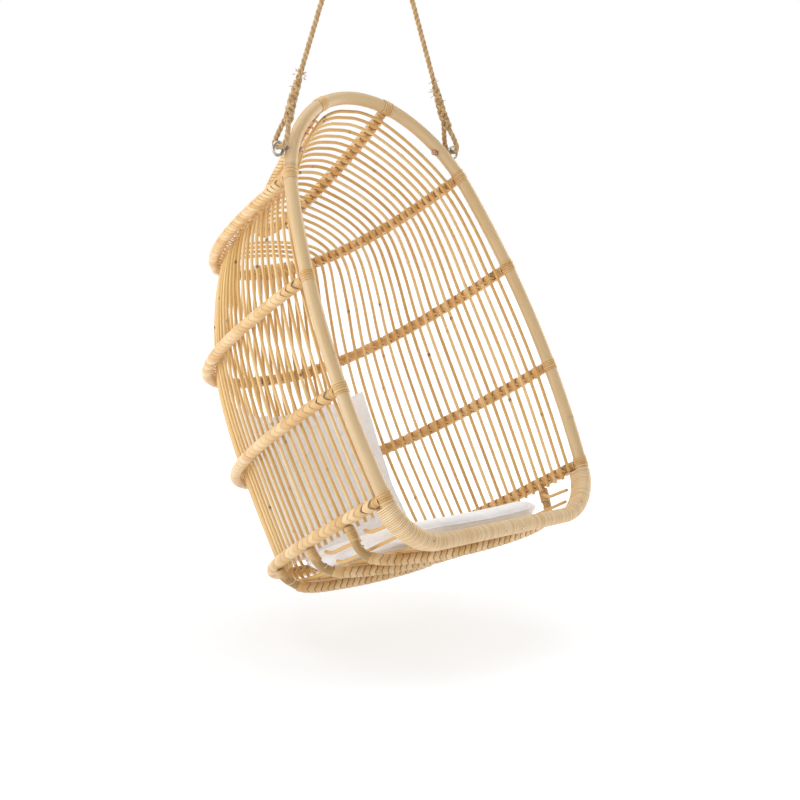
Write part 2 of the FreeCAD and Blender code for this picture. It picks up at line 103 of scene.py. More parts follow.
def makeStage():
    camera = bpy.data.objects.new("camera", bpy.data.cameras.new("camera"))
    bpy.context.scene.collection.objects.link(camera)
    camera.location = shot["eye"]
    back = Vector(shot["eye"]) - Vector(shot["aim"])
    camera.rotation_euler = back.to_track_quat("Z", "Y").to_euler()
    camera.data.lens = shot["lens"]
    bpy.context.scene.camera = camera

    floorHeight = cadLow.z - shot["floorDrop"]
    size = shot["floorHalf"]
    floorMesh = bpy.data.meshes.new("floor")
    floorMesh.from_pydata([(-size, -size, floorHeight), (size, -size, floorHeight),
                           (size, size, floorHeight), (-size, size, floorHeight)], [], [(0, 1, 2, 3)])
    floor = bpy.data.objects.new("floor", floorMesh)
    bpy.context.scene.collection.objects.link(floor)
    floorPaint = bpy.data.materials.new("studioFloorPaint")
    floorPaint.use_nodes = True
    tree = floorPaint.node_tree
    shader = tree.nodes["Principled BSDF"]
    shader.inputs["Base Color"].default_value = linear(shot["floorColour"])
    shader.inputs["Roughness"].default_value = 0.9
    shader.inputs["Emission Color"].default_value = (1, 1, 1, 1)
    # the floor fades to pure white around the chair's soft shadow
    place = addNode(tree, "ShaderNodeTexCoord").outputs["Object"]
    flat = addNode(tree, "ShaderNodeVectorMath", {"operation": "MULTIPLY", 1: (1, 1, 0)}, {0: place})
    away = addNode(tree, "ShaderNodeVectorMath", {"operation": "LENGTH"}, {0: flat.outputs[0]})
    near, far = shot["glowReach"]
    glow = addNode(tree, "ShaderNodeMapRange", {
        "interpolation_type": "SMOOTHSTEP", "From Min": near, "From Max": far,
        "To Min": shot["floorGlow"][0], "To Max": shot["floorGlow"][1]}, {"Value": away.outputs["Value"]})
    tree.links.new(glow.outputs["Result"], shader.inputs["Emission Strength"])
    floorMesh.materials.append(floorPaint)

    world = bpy.data.worlds.new("studioAir")
    world.use_nodes = True
    tree = world.node_tree
    tree.nodes.clear()
    path = addNode(tree, "ShaderNodeLightPath")
    light = addNode(tree, "ShaderNodeBackground", {"Color": (1, 1, 1, 1), "Strength": shot["sky"]})
    seen = addNode(tree, "ShaderNodeBackground", {"Color": (1, 1, 1, 1), "Strength": 1.0})
    mixed = addNode(tree, "ShaderNodeMixShader", {}, {0: path.outputs["Is Camera Ray"],
                                                     1: light.outputs[0], 2: seen.outputs[0]})
    addNode(tree, "ShaderNodeOutputWorld", {}, {"Surface": mixed.outputs[0]})
    bpy.context.scene.world = world
    bpy.context.scene.view_settings.view_transform = "Standard"

    for name, (place, width, watts, colour) in lamps.items():
        lamp = bpy.data.objects.new(name, bpy.data.lights.new(name, "AREA"))
        bpy.context.scene.collection.objects.link(lamp)
        lamp.data.size = width
        lamp.data.energy = watts
        lamp.data.color = linear(colour)[:3]
        lamp.location = place
        facing = Vector(place) - Vector(shot["lampAim"])
        lamp.rotation_euler = facing.to_track_quat("Z", "Y").to_euler()


makeStage()
print("stage: camera, lights and floor are set")


# materials

def clamped(tree, value, low, high, steps=(0.0, 1.0)):
    # a value turned from the range steps to low..high, and kept inside it
    return addNode(tree, "ShaderNodeMapRange", {"From Min": steps[0], "From Max": steps[1],
                                               "To Min": low, "To Max": high},
                   {"Value": value}).outputs["Result"]


def addRamp(tree, share, spec, middlePlace):
    # dark, mid and light colours blended by a share
    ramp = addNode(tree, "ShaderNodeValToRGB", {}, {"Fac": share})
    ramp.color_ramp.elements[0].color = linear(spec["dark"])
    ramp.color_ramp.elements[1].color = linear(spec["light"])
    ramp.color_ramp.elements.new(middlePlace).color = linear(spec["mid"])
    return ramp.outputs["Color"]


# each finish's marksAndShade colour paints real leaf scars and specks, and on peel also painted shade in
# the grooves between turns
rattans = {
    # hoop and ribs: peeled pole, sanded and lacquered, so it is pale and smooth with long faint fibres
    "peeledRattanPole": {
        "dark": "#A5834F", "mid": "#C5A473", "light": "#E0C9A4", "marksAndShade": "#7A5628",
        "fibre": 1.1, "patch": 90.0, "roughness": (0.34, 0.5), "bump": 0.10, "coat": 0.12},
    # thin canes with the skin left on: warmer, glossy, with brown leaf scars
    "rattanCaneWithSkin": {
        "dark": "#AE8140", "mid": "#D4A965", "light": "#EBCD99", "marksAndShade": "#4A2C10",
        "fibre": 0.7, "patch": 60.0, "roughness": (0.36, 0.52), "bump": 0.12, "coat": 0.12},
    # flat peel split from the skin: satin outside, fine lengthwise fibres
    "splitRattanPeel": {
        "dark": "#B88744", "mid": "#D6AF76", "light": "#EACFA5", "marksAndShade": "#54330F",
        "fibre": 0.5, "patch": 14.0, "roughness": (0.32, 0.5), "bump": 0.16, "coat": 0.2},
    # the same peel on the inside of the ribs, a little more orange
    "innerRattanPeel": {
        "dark": "#BC8843", "mid": "#D9AC6E", "light": "#EBC998", "marksAndShade": "#5A3917",
        "fibre": 0.5, "patch": 12.0, "roughness": (0.34, 0.52), "bump": 0.16, "coat": 0.15},
}


def rattan(name, fixed=False):
    # fibres run along the pole; fixed takes the place in the frame instead of the unbent pole's
    spec = rattans[name]
    made = bpy.data.materials.new(name + ("Frame" if fixed else ""))
    made.use_nodes = True
    tree = made.node_tree
    shader = tree.nodes["Principled BSDF"]
    if fixed:
        place = addNode(tree, "ShaderNodeTexCoord").outputs["Object"]
    else:
        place = addNode(tree, "ShaderNodeAttribute", {"attribute_name": "straight"}).outputs["Vector"]
    tone = addNode(tree, "ShaderNodeAttribute", {"attribute_name": "tone"}).outputs["Fac"]
    marksAndShade = addNode(tree, "ShaderNodeAttribute", {"attribute_name": "marksAndShade"}).outputs["Fac"]
    # fibre is the fibre's width in mm, and fibres are about 40 times as long
    drawn = addNode(tree, "ShaderNodeMapping", {"Scale": (1.0, 1.0, 0.025)}, {"Vector": place})
    fibres = addNode(tree, "ShaderNodeTexNoise", {"Scale": 1000.0 / spec["fibre"], "Detail": 3.0,
                                                 "Roughness": 0.6}, {"Vector": drawn.outputs[0]})
    streak = addNode(tree, "ShaderNodeMapping", {"Scale": (1.0, 1.0, 0.12)}, {"Vector": place})
    patches = addNode(tree, "ShaderNodeTexNoise", {"Scale": 1000.0 / spec["patch"] * 3.0, "Detail": 2.0},
                      {"Vector": streak.outputs[0]})
    # tone shifts a whole strand, patches drift along it, fibres are fine lines on it
    mixed = addNode(tree, "ShaderNodeMath", {"operation": "MULTIPLY_ADD", 1: 0.55},
                    {0: patches.outputs["Fac"], 2: tone})
    fine = addNode(tree, "ShaderNodeMath", {"operation": "MULTIPLY_ADD", 1: 0.30},
                   {0: fibres.outputs["Fac"], 2: mixed.outputs[0]})
    colour = addRamp(tree, clamped(tree, fine.outputs[0], 0.0, 1.0, (0.30, 1.35)), spec, 0.5)
    # marksAndShade pulls the colour to the dark one: real leaf scars and specks, and painted shade in the
    # grooves between turns of peel
    scar = addNode(tree, "ShaderNodeMix", {"data_type": "RGBA"}, {"Factor": marksAndShade, 6: colour})
    scar.inputs[7].default_value = linear(spec["marksAndShade"])
    tree.links.new(scar.outputs[2], shader.inputs["Base Color"])
    low, high = spec["roughness"]
    tree.links.new(clamped(tree, fibres.outputs["Fac"], low, high, (0.3, 0.7)), shader.inputs["Roughness"])
    shader.inputs["IOR"].default_value = 1.5
    shader.inputs["Coat Weight"].default_value = spec["coat"]
    shader.inputs["Coat Roughness"].default_value = 0.28
    bump = addNode(tree, "ShaderNodeBump", {"Strength": spec["bump"], "Distance": 0.0006},
                   {"Height": fibres.outputs["Fac"]})
    tree.links.new(bump.outputs[0], shader.inputs["Normal"])
    return made


def hempRope():
    # laid natural fibre: matt, hairy, brown in the grooves and straw on the crowns of the yarns
    spec = {"dark": "#6E4E2A", "mid": "#A98557", "light": "#CDB083", "yarn": 1.6}
    made = bpy.data.materials.new("laidHempRope")
    made.use_nodes = True
    tree = made.node_tree
    shader = tree.nodes["Principled BSDF"]
    place = addNode(tree, "ShaderNodeAttribute", {"attribute_name": "straight"}).outputs["Vector"]
    tone = addNode(tree, "ShaderNodeAttribute", {"attribute_name": "tone"}).outputs["Fac"]
    # yarn is one yarn's width in mm; the coordinate already follows the strand's twist
    drawn = addNode(tree, "ShaderNodeMapping", {"Scale": (1.0, 1.0, 0.10)}, {"Vector": place})
    fibres = addNode(tree, "ShaderNodeTexNoise", {"Scale": 1000.0 / spec["yarn"], "Detail": 4.0,
                                                 "Roughness": 0.7}, {"Vector": drawn.outputs[0]})
    both = addNode(tree, "ShaderNodeMath", {"operation": "MULTIPLY_ADD", 1: 0.9},
                   {0: fibres.outputs["Fac"], 2: tone})
    colour = addRamp(tree, clamped(tree, both.outputs[0], 0, 1, (0.3, 1.25)), spec, 0.45)
    tree.links.new(colour, shader.inputs["Base Color"])
    tree.links.new(clamped(tree, fibres.outputs["Fac"], 0.8, 0.98), shader.inputs["Roughness"])
    shader.inputs["Sheen Weight"].default_value = 0.25
    shader.inputs["Sheen Roughness"].default_value = 0.5
    shader.inputs["IOR"].default_value = 1.5
    bump = addNode(tree, "ShaderNodeBump", {"Strength": 0.6, "Distance": 0.0008},
                   {"Height": fibres.outputs["Fac"]})
    tree.links.new(bump.outputs[0], shader.inputs["Normal"])
    return made


def cottonCanvas():
    # plain woven cotton, washed: off-white, dull, with a soft fibre sheen
    spec = {"low": "#EDEDEF", "high": "#FAFAFB", "thread": 1.4}
    made = bpy.data.materials.new("plainWovenCotton")
    made.use_nodes = True
    tree = made.node_tree
    shader = tree.nodes["Principled BSDF"]
    place = addNode(tree, "ShaderNodeTexCoord").outputs["Object"]
    # threads are 0.5 mm on the real cloth and drawn at 1.4 mm, so that the weave still shows
    turned = addNode(tree, "ShaderNodeMapping", {"Rotation": (math.radians(-26), 0, 0)}, {"Vector": place})
    heights = []
    for axis in ("X", "Y"):
        wave = addNode(tree, "ShaderNodeTexWave", {"wave_type": "BANDS", "bands_direction": axis,
                                                  "Scale": 1000.0 / spec["thread"] / 6.2832,
                                                  "Distortion": 0.6, "Detail": 1.0},
                       {"Vector": turned.outputs[0]})
        heights.append(wave.outputs["Fac"])
    weave = addNode(tree, "ShaderNodeMath", {"operation": "MULTIPLY"}, {0: heights[0], 1: heights[1]})
    slub = addNode(tree, "ShaderNodeTexNoise", {"Scale": 60.0, "Detail": 5.0}, {"Vector": place})
    both = addNode(tree, "ShaderNodeMath", {"operation": "MULTIPLY_ADD", 1: 0.4},
                   {0: weave.outputs[0], 2: slub.outputs["Fac"]})
    mixed = addNode(tree, "ShaderNodeMix", {"data_type": "RGBA"},
                    {"Factor": clamped(tree, both.outputs[0], 0, 1, (0.25, 1.0))})
    mixed.inputs[6].default_value = linear(spec["low"])
    mixed.inputs[7].default_value = linear(spec["high"])
    tree.links.new(mixed.outputs[2], shader.inputs["Base Color"])
    tree.links.new(clamped(tree, weave.outputs[0], 0.97, 0.82), shader.inputs["Roughness"])
    shader.inputs["Sheen Weight"].default_value = 0.3
    shader.inputs["Sheen Roughness"].default_value = 0.4
    shader.inputs["IOR"].default_value = 1.45
    bump = addNode(tree, "ShaderNodeBump", {"Strength": 0.35, "Distance": 0.0004},
                   {"Height": both.outputs[0]})
    tree.links.new(bump.outputs[0], shader.inputs["Normal"])
    return made


def platedSteel(name, low, high, rough):
    # drawn steel wire with a bright plating: fine drawing lines and small dull spots
    made = bpy.data.materials.new(name)
    made.use_nodes = True
    tree = made.node_tree
    shader = tree.nodes["Principled BSDF"]
    place = addNode(tree, "ShaderNodeTexCoord").outputs["Object"]
    # drawing lines are about 0.3 mm apart, drawn at 0.8 mm so that they show
    drawn = addNode(tree, "ShaderNodeMapping", {"Scale": (1.0, 0.15, 1.0)}, {"Vector": place})
    lines = addNode(tree, "ShaderNodeTexNoise", {"Scale": 1000.0 / 0.8, "Detail": 2.0},
                    {"Vector": drawn.outputs[0]})
    spots = addNode(tree, "ShaderNodeTexNoise", {"Scale": 220.0, "Detail": 4.0}, {"Vector": place})
    mixed = addNode(tree, "ShaderNodeMix", {"data_type": "RGBA"},
                    {"Factor": clamped(tree, spots.outputs["Fac"], 0, 1, (0.35, 0.65))})
    mixed.inputs[6].default_value = linear(low)
    mixed.inputs[7].default_value = linear(high)
    tree.links.new(mixed.outputs[2], shader.inputs["Base Color"])
    shader.inputs["Metallic"].default_value = 1.0
    tree.links.new(clamped(tree, lines.outputs["Fac"], rough, rough + 0.16, (0.3, 0.7)),
                   shader.inputs["Roughness"])
    bump = addNode(tree, "ShaderNodeBump", {"Strength": 0.12, "Distance": 0.0002},
                   {"Height": lines.outputs["Fac"]})
    tree.links.new(bump.outputs[0], shader.inputs["Normal"])
    return made


poleSkin = rattan("peeledRattanPole")
poleSkinFrame = rattan("peeledRattanPole", fixed=True)
caneSkin = rattan("rattanCaneWithSkin")
peelSkin = rattan("splitRattanPeel")
innerPeel = rattan("innerRattanPeel")
ropeFibre = hempRope()
canvas = cottonCanvas()
zincSteel = platedSteel("zincPlatedSteel", "#9C9A95", "#D3D1CB", 0.22)
copperSteel = platedSteel("copperWashedSteel", "#A87860", "#D3AC98", 0.34)
print("materials: rattan, peel, rope, canvas and steel are made")


# the chair's own shape, upright in its own frame, as the frame's parts were drawn (m, degrees)

hoop = {
    "radius": 0.0155, "railHeight": -0.026, "railHalf": 0.197, "tilt": 27.7, "boltHeight": 0.921,
    "corner": (0.127, 81.5), "side": (1.860, 23.0), "shoulder": (0.338, 40.5),
    "firstKnot": 0.31, "knotSpacing": 0.42, "knotDarkness": 0.35,
}
ribs = {
    "poleRadius": 0.010, "braidRadius": 0.014,
    "heights": [1.040, 0.853, 0.606, 0.343, 0.090],
    "depths": [0.455, 0.530, 0.655, 0.690, 0.625],
    "fullness": [1.85, 2.55, 2.7, 2.4, 3.1],
    "drops": [14.0, 0.0, 0.0, 0.0, 0.0],
    "slopes": [64.0, 30.0, 0.0, 0.0, -14.0],      # how far the shell leans in at each rib
}
canes = {
    "radius": 0.004, "toCentre": 31.5, "crownCanes": 20, "arches": 24, "lastStub": 21,
    "crownRise": 0.22, "stub": 0.0072, "bendAllowance": 0.0024,
    "topRound": 0.8, "topShare": 0.62, "topDrop": (0.012, 0.020),   # the last arches, under the top rib
    # short canes along the sides of the seat: place, height, front end and back end
    "sideRuns": [(0.296, 0.044, 0.046, 0.122), (0.287, 0.046, 0.158, 0.277), (0.276, 0.017, 0.046, 0.262)],
}
seat = {
    "barPlaces": [0.140, 0.295, 0.468], "barHeights": [-0.031, -0.010, 0.008],
    "barBows": [0.018, 0.018, 0.010], "barCorner": 0.052, "barLift": 0.0012,
    "barShoulder": (0.007, 0.044),      # in from the end and up from the middle, where a bar turns level
    # under-seat canes: their front end, space kept from a bar, and the bends that turn them up the back
    "frontEnd": (0.043, 0.0035), "barClear": 0.040, "backBend": (0.050, 0.005),
    "upBend": (0.009, 0.020, 0.030),
    "frontBarRadius": 0.011, "gap": 0.0003,
}
lastCane = int(canes["toCentre"])       # the last whole cane before the middle of the back
caneInset = ribs["braidRadius"] + canes["radius"] + canes["bendAllowance"]
eyeLow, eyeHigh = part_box("eye_bolt_right")
eyeHeight = (eyeLow.z + eyeHigh.z) / 2


def leanBack(points):
    # from the upright frame to the way the chair hangs
    points = np.asarray(points, float)
    tilt = math.radians(hoop["tilt"])
    y = points[:, 1] * math.cos(tilt) + points[:, 2] * math.sin(tilt)
    z = -points[:, 1] * math.sin(tilt) + points[:, 2] * math.cos(tilt)
    return np.stack([points[:, 0], y - hoop["boltHeight"] * math.sin(tilt),
                     z + eyeHeight - hoop["boltHeight"] * math.cos(tilt)], 1)


def hoopArcs():
    # the hoop's right half as (centre x, centre z, radius, start heading, turn)
    x, z, heading = hoop["railHalf"], hoop["railHeight"], 0.0
    turns = [hoop["corner"], hoop["side"], hoop["shoulder"]]
    crownTurn = 180.0 - sum(turn for _, turn in turns)
    found = []
    for radius, turn in turns + [(None, crownTurn)]:
        a = math.radians(heading)
        if radius is None:
            radius = x / math.sin(math.radians(turn))
        centreX, centreZ = x - radius * math.sin(a), z + radius * math.cos(a)
        found.append((centreX, centreZ, radius, heading, turn))
        heading += turn
        b = math.radians(heading)
        x, z = centreX + radius * math.sin(b), centreZ - radius * math.cos(b)
    return found


arcs = hoopArcs()


def hoopHalfWidth(height):
    for centreX, centreZ, radius, heading, turn in arcs:
        low = centreZ - radius * math.cos(math.radians(heading))
        high = centreZ - radius * math.cos(math.radians(heading + turn))
        if low <= height <= high:
            return centreX + math.sqrt(radius ** 2 - (height - centreZ) ** 2)
    return 0.0


def hoopHalf(step=0.004):
    # close points from the middle of the rail up the right side to the crown
    count = int(hoop["railHalf"] / step)
    points = [(x, 0.0, hoop["railHeight"]) for x in np.linspace(0, hoop["railHalf"], count)]
    for centreX, centreZ, radius, heading, turn in arcs:
        count = max(6, int(radius * math.radians(turn) / step))
        for a in np.radians(np.linspace(heading, heading + turn, count))[1:]:
            points.append((centreX + radius * math.sin(a), 0.0, centreZ - radius * math.cos(a)))
    return np.array(points)


def planCurve(level):
    # a rib's right half, from the hoop to the middle of the back, a point every quarter degree
    a = np.radians(np.linspace(0, 90, 361))
    power = 2.0 / ribs["fullness"][level]
    drop = math.radians(ribs["drops"][level])
    side = hoopHalfWidth(ribs["heights"][level]) * np.abs(np.cos(a)) ** power
    side[-1] = 0.0
    back = ribs["depths"][level] * np.abs(np.sin(a)) ** power
    return np.stack([side, back * math.cos(drop), ribs["heights"][level] - back * math.sin(drop)], 1)


def unit(vectors):
    return vectors / np.linalg.norm(vectors, axis=-1, keepdims=True)


def lengths(points):
    # how far along the line each point is
    return np.concatenate([[0.0], np.cumsum(np.linalg.norm(np.diff(points, axis=0), axis=1))])


def readAlong(goal, along, rows):
    # rows of three values, each row at its own length, read at the lengths in goal
    return np.stack([np.interp(goal, along, rows[:, k]) for k in range(3)], -1)


def atLength(points, goal):
    # places at those lengths along a line of close points
    return readAlong(goal, lengths(points), points)


ribHalves = [planCurve(level) for level in range(5)]
ribLengths = [lengths(half)[-1] for half in ribHalves]


def beside(level, share, inset):
    # moved square to the rib, towards the seat
    half, total = ribHalves[level], ribLengths[level]
    here = atLength(half, share * total)
    ahead = atLength(half, min(share + 0.01, 1.0) * total)
    behind = atLength(half, max(share - 0.01, 0.0) * total)
    along = ahead - behind
    if share > 0.99:
        along = np.array([-1.0, 0.0, 0.0])
    return here + unit(np.cross([0, 0, 1.0], along)) * inset


def crossingShare(cane, level):
    return cane / (canes["crownCanes"] + 3.0) if level == 0 else cane / canes["toCentre"]


def crossing(cane, level):
    # where a cane lies against the inside of a rib
    slope = math.radians(ribs["slopes"][level])
    if level == 4 and cane <= canes["lastStub"]:
        slope = 0.0
    if level == 1 and cane > canes["arches"]:
        slope *= 0.5
    place = beside(level, crossingShare(cane, level), caneInset * math.cos(slope))
    return place - np.array([0, 0, caneInset * math.sin(slope)])


def withMiddles(points):
    # one more point between each two, on a smooth curve through them
    full = [points[0]]
    for i in range(len(points) - 1):
        before = points[max(i - 1, 0)]
        after = points[min(i + 2, len(points) - 1)]
        full.append((points[i] + points[i + 1]) * (9 / 16) - (before + after) * (1 / 16))
        full.append(points[i + 1])
    return full


def barEnd(index):
    # where a seat bar meets the lowest rib
    curve = ribHalves[4]
    return curve[np.argmin(np.abs(curve[:, 1] - seat["barPlaces"][index]))][0]


def barRise(index, x):
    # the bars sag towards their middles
    return seat["barBows"][index] * (x / (barEnd(index) - seat["barCorner"])) ** 2


def seatRun(cane):
    # a cane's run under the seat, from the front rail over the bars to the foot of the back
    foot = crossing(cane, 4)
    points = [np.array([foot[0], seat["frontEnd"][0], hoop["railHeight"] + seat["frontEnd"][1]])]
    for index in range(3):
        height = seat["barHeights"][index] + barRise(index, foot[0]) + seat["barLift"]
        if seat["barPlaces"][index] < foot[1] - seat["barClear"]:
            points.append(np.array([foot[0], seat["barPlaces"][index], height + caneInset]))
    last = seat["barHeights"][2] + barRise(2, foot[0]) + seat["barLift"] + caneInset
    points.append(np.array([foot[0], foot[1] - seat["backBend"][0], last + seat["backBend"][1]]))
    back, rise, least = seat["upBend"]
    points.append(np.array([foot[0], foot[1] - back,
                            max(last + rise, seat["barHeights"][2] + caneInset + least)]))
    return points


def archTop(cane):
    # an arch's points above the second rib, up to its crown
    low = crossing(cane, 1)
    if cane <= canes["crownCanes"]:
        side = crossing(cane, 0)
        crown = np.array([0.0, side[1] + 0.05 * (side[1] - low[1]), side[2] + canes["crownRise"] * side[0]])
        return [low, side, crown]
    high = ribHalves[0][-1] - np.array([0.0, *canes["topDrop"]])
    centre = crossing(canes["toCentre"], 1)
    share = canes["topShare"] * (cane - canes["crownCanes"]) / (canes["arches"] + 1 - canes["crownCanes"])
    crown = high + (centre - high) * share
    top = []
    for angle in (0, 30, 60, 90):
        a = math.radians(angle)
        rise = math.sin(a) ** canes["topRound"]
        top.append(np.array([low[0] * math.cos(a) ** canes["topRound"] if angle < 90 else 0.0,
                             low[1] + (crown[1] - low[1]) * rise, low[2] + (crown[2] - low[2]) * rise]))
    return top


def canePath(cane):
    # control points of a cane: a whole arch, or one side of the back for the middle ones
    sides = [crossing(cane, level) for level in (4, 3, 2)]
    reach = ribs["braidRadius"] + canes["stub"]
    if cane <= canes["lastStub"]:
        foot = [sides[0] - np.array([0, 0, reach if cane > 1 else 0.009])]
    else:
        foot = seatRun(cane)
    if cane > canes["arches"]:
        low = crossing(cane, 1)
        return foot + withMiddles(sides + [low]) + [low + np.array([0, -0.001, reach])]
    if cane <= canes["crownCanes"]:
        half = foot + withMiddles(sides + archTop(cane))
    else:
        top = archTop(cane)
        half = foot + withMiddles(sides + [top[0]]) + top[1:]
    return half + [p * [-1, 1, 1] for p in reversed(half[:-1])]


# mesh building

def roundedLine(points, step):
    # the smooth line that a bent cane takes between its control points
    points = [np.asarray(p, float) for p in points]
    fine = [points[0]]
    start = points[0]
    for i in range(1, len(points) - 1):
        end = points[-1] if i == len(points) - 2 else (points[i] + points[i + 1]) / 2
        for t in np.linspace(0, 1, 13)[1:]:
            fine.append((1 - t) ** 2 * start + 2 * t * (1 - t) * points[i] + t * t * end)
        start = end
    fine = np.array(fine)
    total = lengths(fine)[-1]
    return atLength(fine, np.linspace(0, total, max(4, int(total / step) + 1)))


def newStock():
    return {"verts": [], "faces": [], "straight": [], "tone": [], "marksAndShade": [], "count": 0}


def addRings(stock, rings, straight, tone, marksAndShade, closed=False):
    # a skin over rings of points, rows x sides x 3, with flat ends unless it closes on itself
    rows, sides = rings.shape[:2]
    base = stock["count"]
    stock["verts"].append(rings.reshape(-1, 3))
    stock["straight"].append(straight.reshape(-1, 3))
    stock["tone"].append(np.broadcast_to(tone, (rows, sides)).reshape(-1))
    # marksAndShade is kept for each point: real scars and specks, and painted shade in the grooves
    stock["marksAndShade"].append(np.broadcast_to(marksAndShade, (rows, sides)).reshape(-1))
    stock["count"] += rows * sides
    last = rows if closed else rows - 1
    i = np.arange(last)[:, None]
    j = np.arange(sides)[None, :]
    after = (i + 1) % rows
    turn = (j + 1) % sides
    quads = np.stack([base + i * sides + j, base + i * sides + turn,
                      base + after * sides + turn, base + after * sides + j], -1)
    stock["faces"].extend(quads.reshape(-1, 4).tolist())
    if not closed:
        stock["faces"].append(list(range(base + sides - 1, base - 1, -1)))
        stock["faces"].append(list(range(base + (rows - 1) * sides, base + rows * sides)))


def carriedFrames(path, closed=False):
    # tangent and two square directions along a line, turned as little as possible
    ahead = np.roll(path, -1, 0) if closed else np.vstack([path[1:], 2 * path[-1:] - path[-2:-1]])
    behind = np.roll(path, 1, 0) if closed else np.vstack([2 * path[:1] - path[1:2], path[:-1]])
    tangents = unit(ahead - behind)
    normal = np.array([0, 1.0, 0])
    if abs(normal @ tangents[0]) > 0.9:
        normal = np.array([1.0, 0, 0])
    normals = np.zeros_like(path)
    for i, tangent in enumerate(tangents):
        normal = unit(normal - tangent * (normal @ tangent))
        normals[i] = normal
    return tangents, normals, np.cross(tangents, normals)


def addPole(stock, path, radius, sides, tone, knots=(), knotSize=0.003, swell=0.0004, closed=False,
            taper=0.0):
    # a round pole; knots are lengths along it where it swells and carries a leaf scar
    _, normals, others = carriedFrames(path, closed)
    along = lengths(path)
    radii = np.full(len(path), radius, float)
    ringKnot = np.zeros(len(path))
    for place in knots:
        near = np.exp(-((along - place) / knotSize) ** 2)
        radii += swell * near
        ringKnot = np.maximum(ringKnot, near)
    if taper:
        radii *= np.clip(np.minimum(along, along[-1] - along) / taper, 0.35, 1.0) ** 0.5
    a = np.linspace(0, 2 * math.pi, sides, endpoint=False)
    rings = (path[:, None] + radii[:, None, None] * (np.cos(a)[None, :, None] * normals[:, None]
                                                     + np.sin(a)[None, :, None] * others[:, None]))
    flat = np.zeros_like(rings)
    shift = draw.uniform(0, 3)
    flat[..., 0] = radius * np.cos(a)[None]
    flat[..., 1] = radius * np.sin(a)[None]
    flat[..., 2] = along[:, None] + shift
    # the scar lies on one side of the knot
    turn = draw.uniform(0, 2 * math.pi)
    scar = np.clip(0.35 + 0.9 * np.cos(a - turn - along[:, None] * 9), 0, 1)
    addRings(stock, rings, flat, tone, ringKnot[:, None] * scar, closed)


def makePiece(name, stock, material, body, leaned, stands=()):
    # leaned: its points are in the upright frame; stands: the frame's parts that it takes the place of
    verts = np.concatenate(stock["verts"])
    if leaned:
        verts = leanBack(verts)
    mesh = bpy.data.meshes.new(name)
    mesh.from_pydata(verts.tolist(), [], stock["faces"])
    straight = mesh.attributes.new("straight", "FLOAT_VECTOR", "POINT")
    straight.data.foreach_set("vector", np.concatenate(stock["straight"]).astype(np.float32).ravel())
    for kind in ("tone", "marksAndShade"):
        values = mesh.attributes.new(kind, "FLOAT", "POINT")
        values.data.foreach_set("value", np.concatenate(stock[kind]).astype(np.float32))
    mesh.polygons.foreach_set("use_smooth", [True] * len(mesh.polygons))
    mesh.materials.append(material)
    mesh.validate()
    mesh.update()
    mesh.set_sharp_from_angle(angle=math.radians(55))
    piece = bpy.data.objects.new(name, mesh)
    bpy.context.scene.collection.objects.link(piece)
    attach(piece, body)
    if stands:
        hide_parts(*stands)
    return piece


def spread(start, end, gap, jitter=0.35):
    # uneven places along a length, a gap apart on average
    places = []
    place = start + gap * draw.uniform(0.2, 1.0)
    while place < end:
        places.append(place)
        place += gap * draw.uniform(1 - jitter, 1 + jitter)
    return places


# ropes: route in the frame, right side; the left one mirrors it

rope = {
    "diameter": 0.0127, "strands": 3, "lay": 0.040, "length": 0.912,
    "strandRadius": 0.245, "strandOffset": 0.255,       # shares of the rope's diameter
    "spliceLength": 0.120, "frays": 9,
    "swell": ([0, 0.06, 0.35, 0.8, 1.0], [0.75, 1.0, 1.0, 0.82, 0.5]),      # along the splice
    # tucked strands with the lay and across it: offset in diameters, thickness and lay
    "withLay": (0.58, 1.42, 1.15), "acrossLay": (0.60, 1.15, 1.6),
    "route": [(0.2609, 0.0095, -0.7234), (0.2712, 0.0190, -0.7494), (0.2816, 0.0190, -0.7754),
              (0.2816, -0.0190, -0.7754), (0.2705, -0.0190, -0.7475), (0.2505, 0.0, -0.6973),
              (0.2284, 0.0, -0.6419), (0.0611, 0.0, -0.2228), (0.0390, 0.0, -0.1674),
              (0.0190, 0.0190, -0.1172), (0.0079, 0.0190, -0.0894), (0.0079, -0.0190, -0.0894),
              (0.0183, -0.0190, -0.1154), (0.0287, -0.0095, -0.1414)],
}


def splineLine(name, points, step):
    # close points read from the smooth line that those control points shape
    curve = bpy.data.curves.new(name, "CURVE")
    curve.dimensions = "3D"
    curve.resolution_u = 24
    line = curve.splines.new("NURBS")
    line.points.add(len(points) - 1)
    for point, place in zip(line.points, points):
        point.co = (*place, 1.0)
    line.order_u = 3
    line.use_endpoint_u = True
    holder = bpy.data.objects.new(name, curve)
    bpy.context.scene.collection.objects.link(holder)
    bpy.context.view_layer.update()
    seen = bpy.data.meshes.new_from_object(holder.evaluated_get(bpy.context.evaluated_depsgraph_get()))
    found = np.array([v.co for v in seen.vertices])
    bpy.data.objects.remove(holder)
    total = lengths(found)[-1]
    return atLength(found, np.linspace(0, total, int(total / step) + 1))


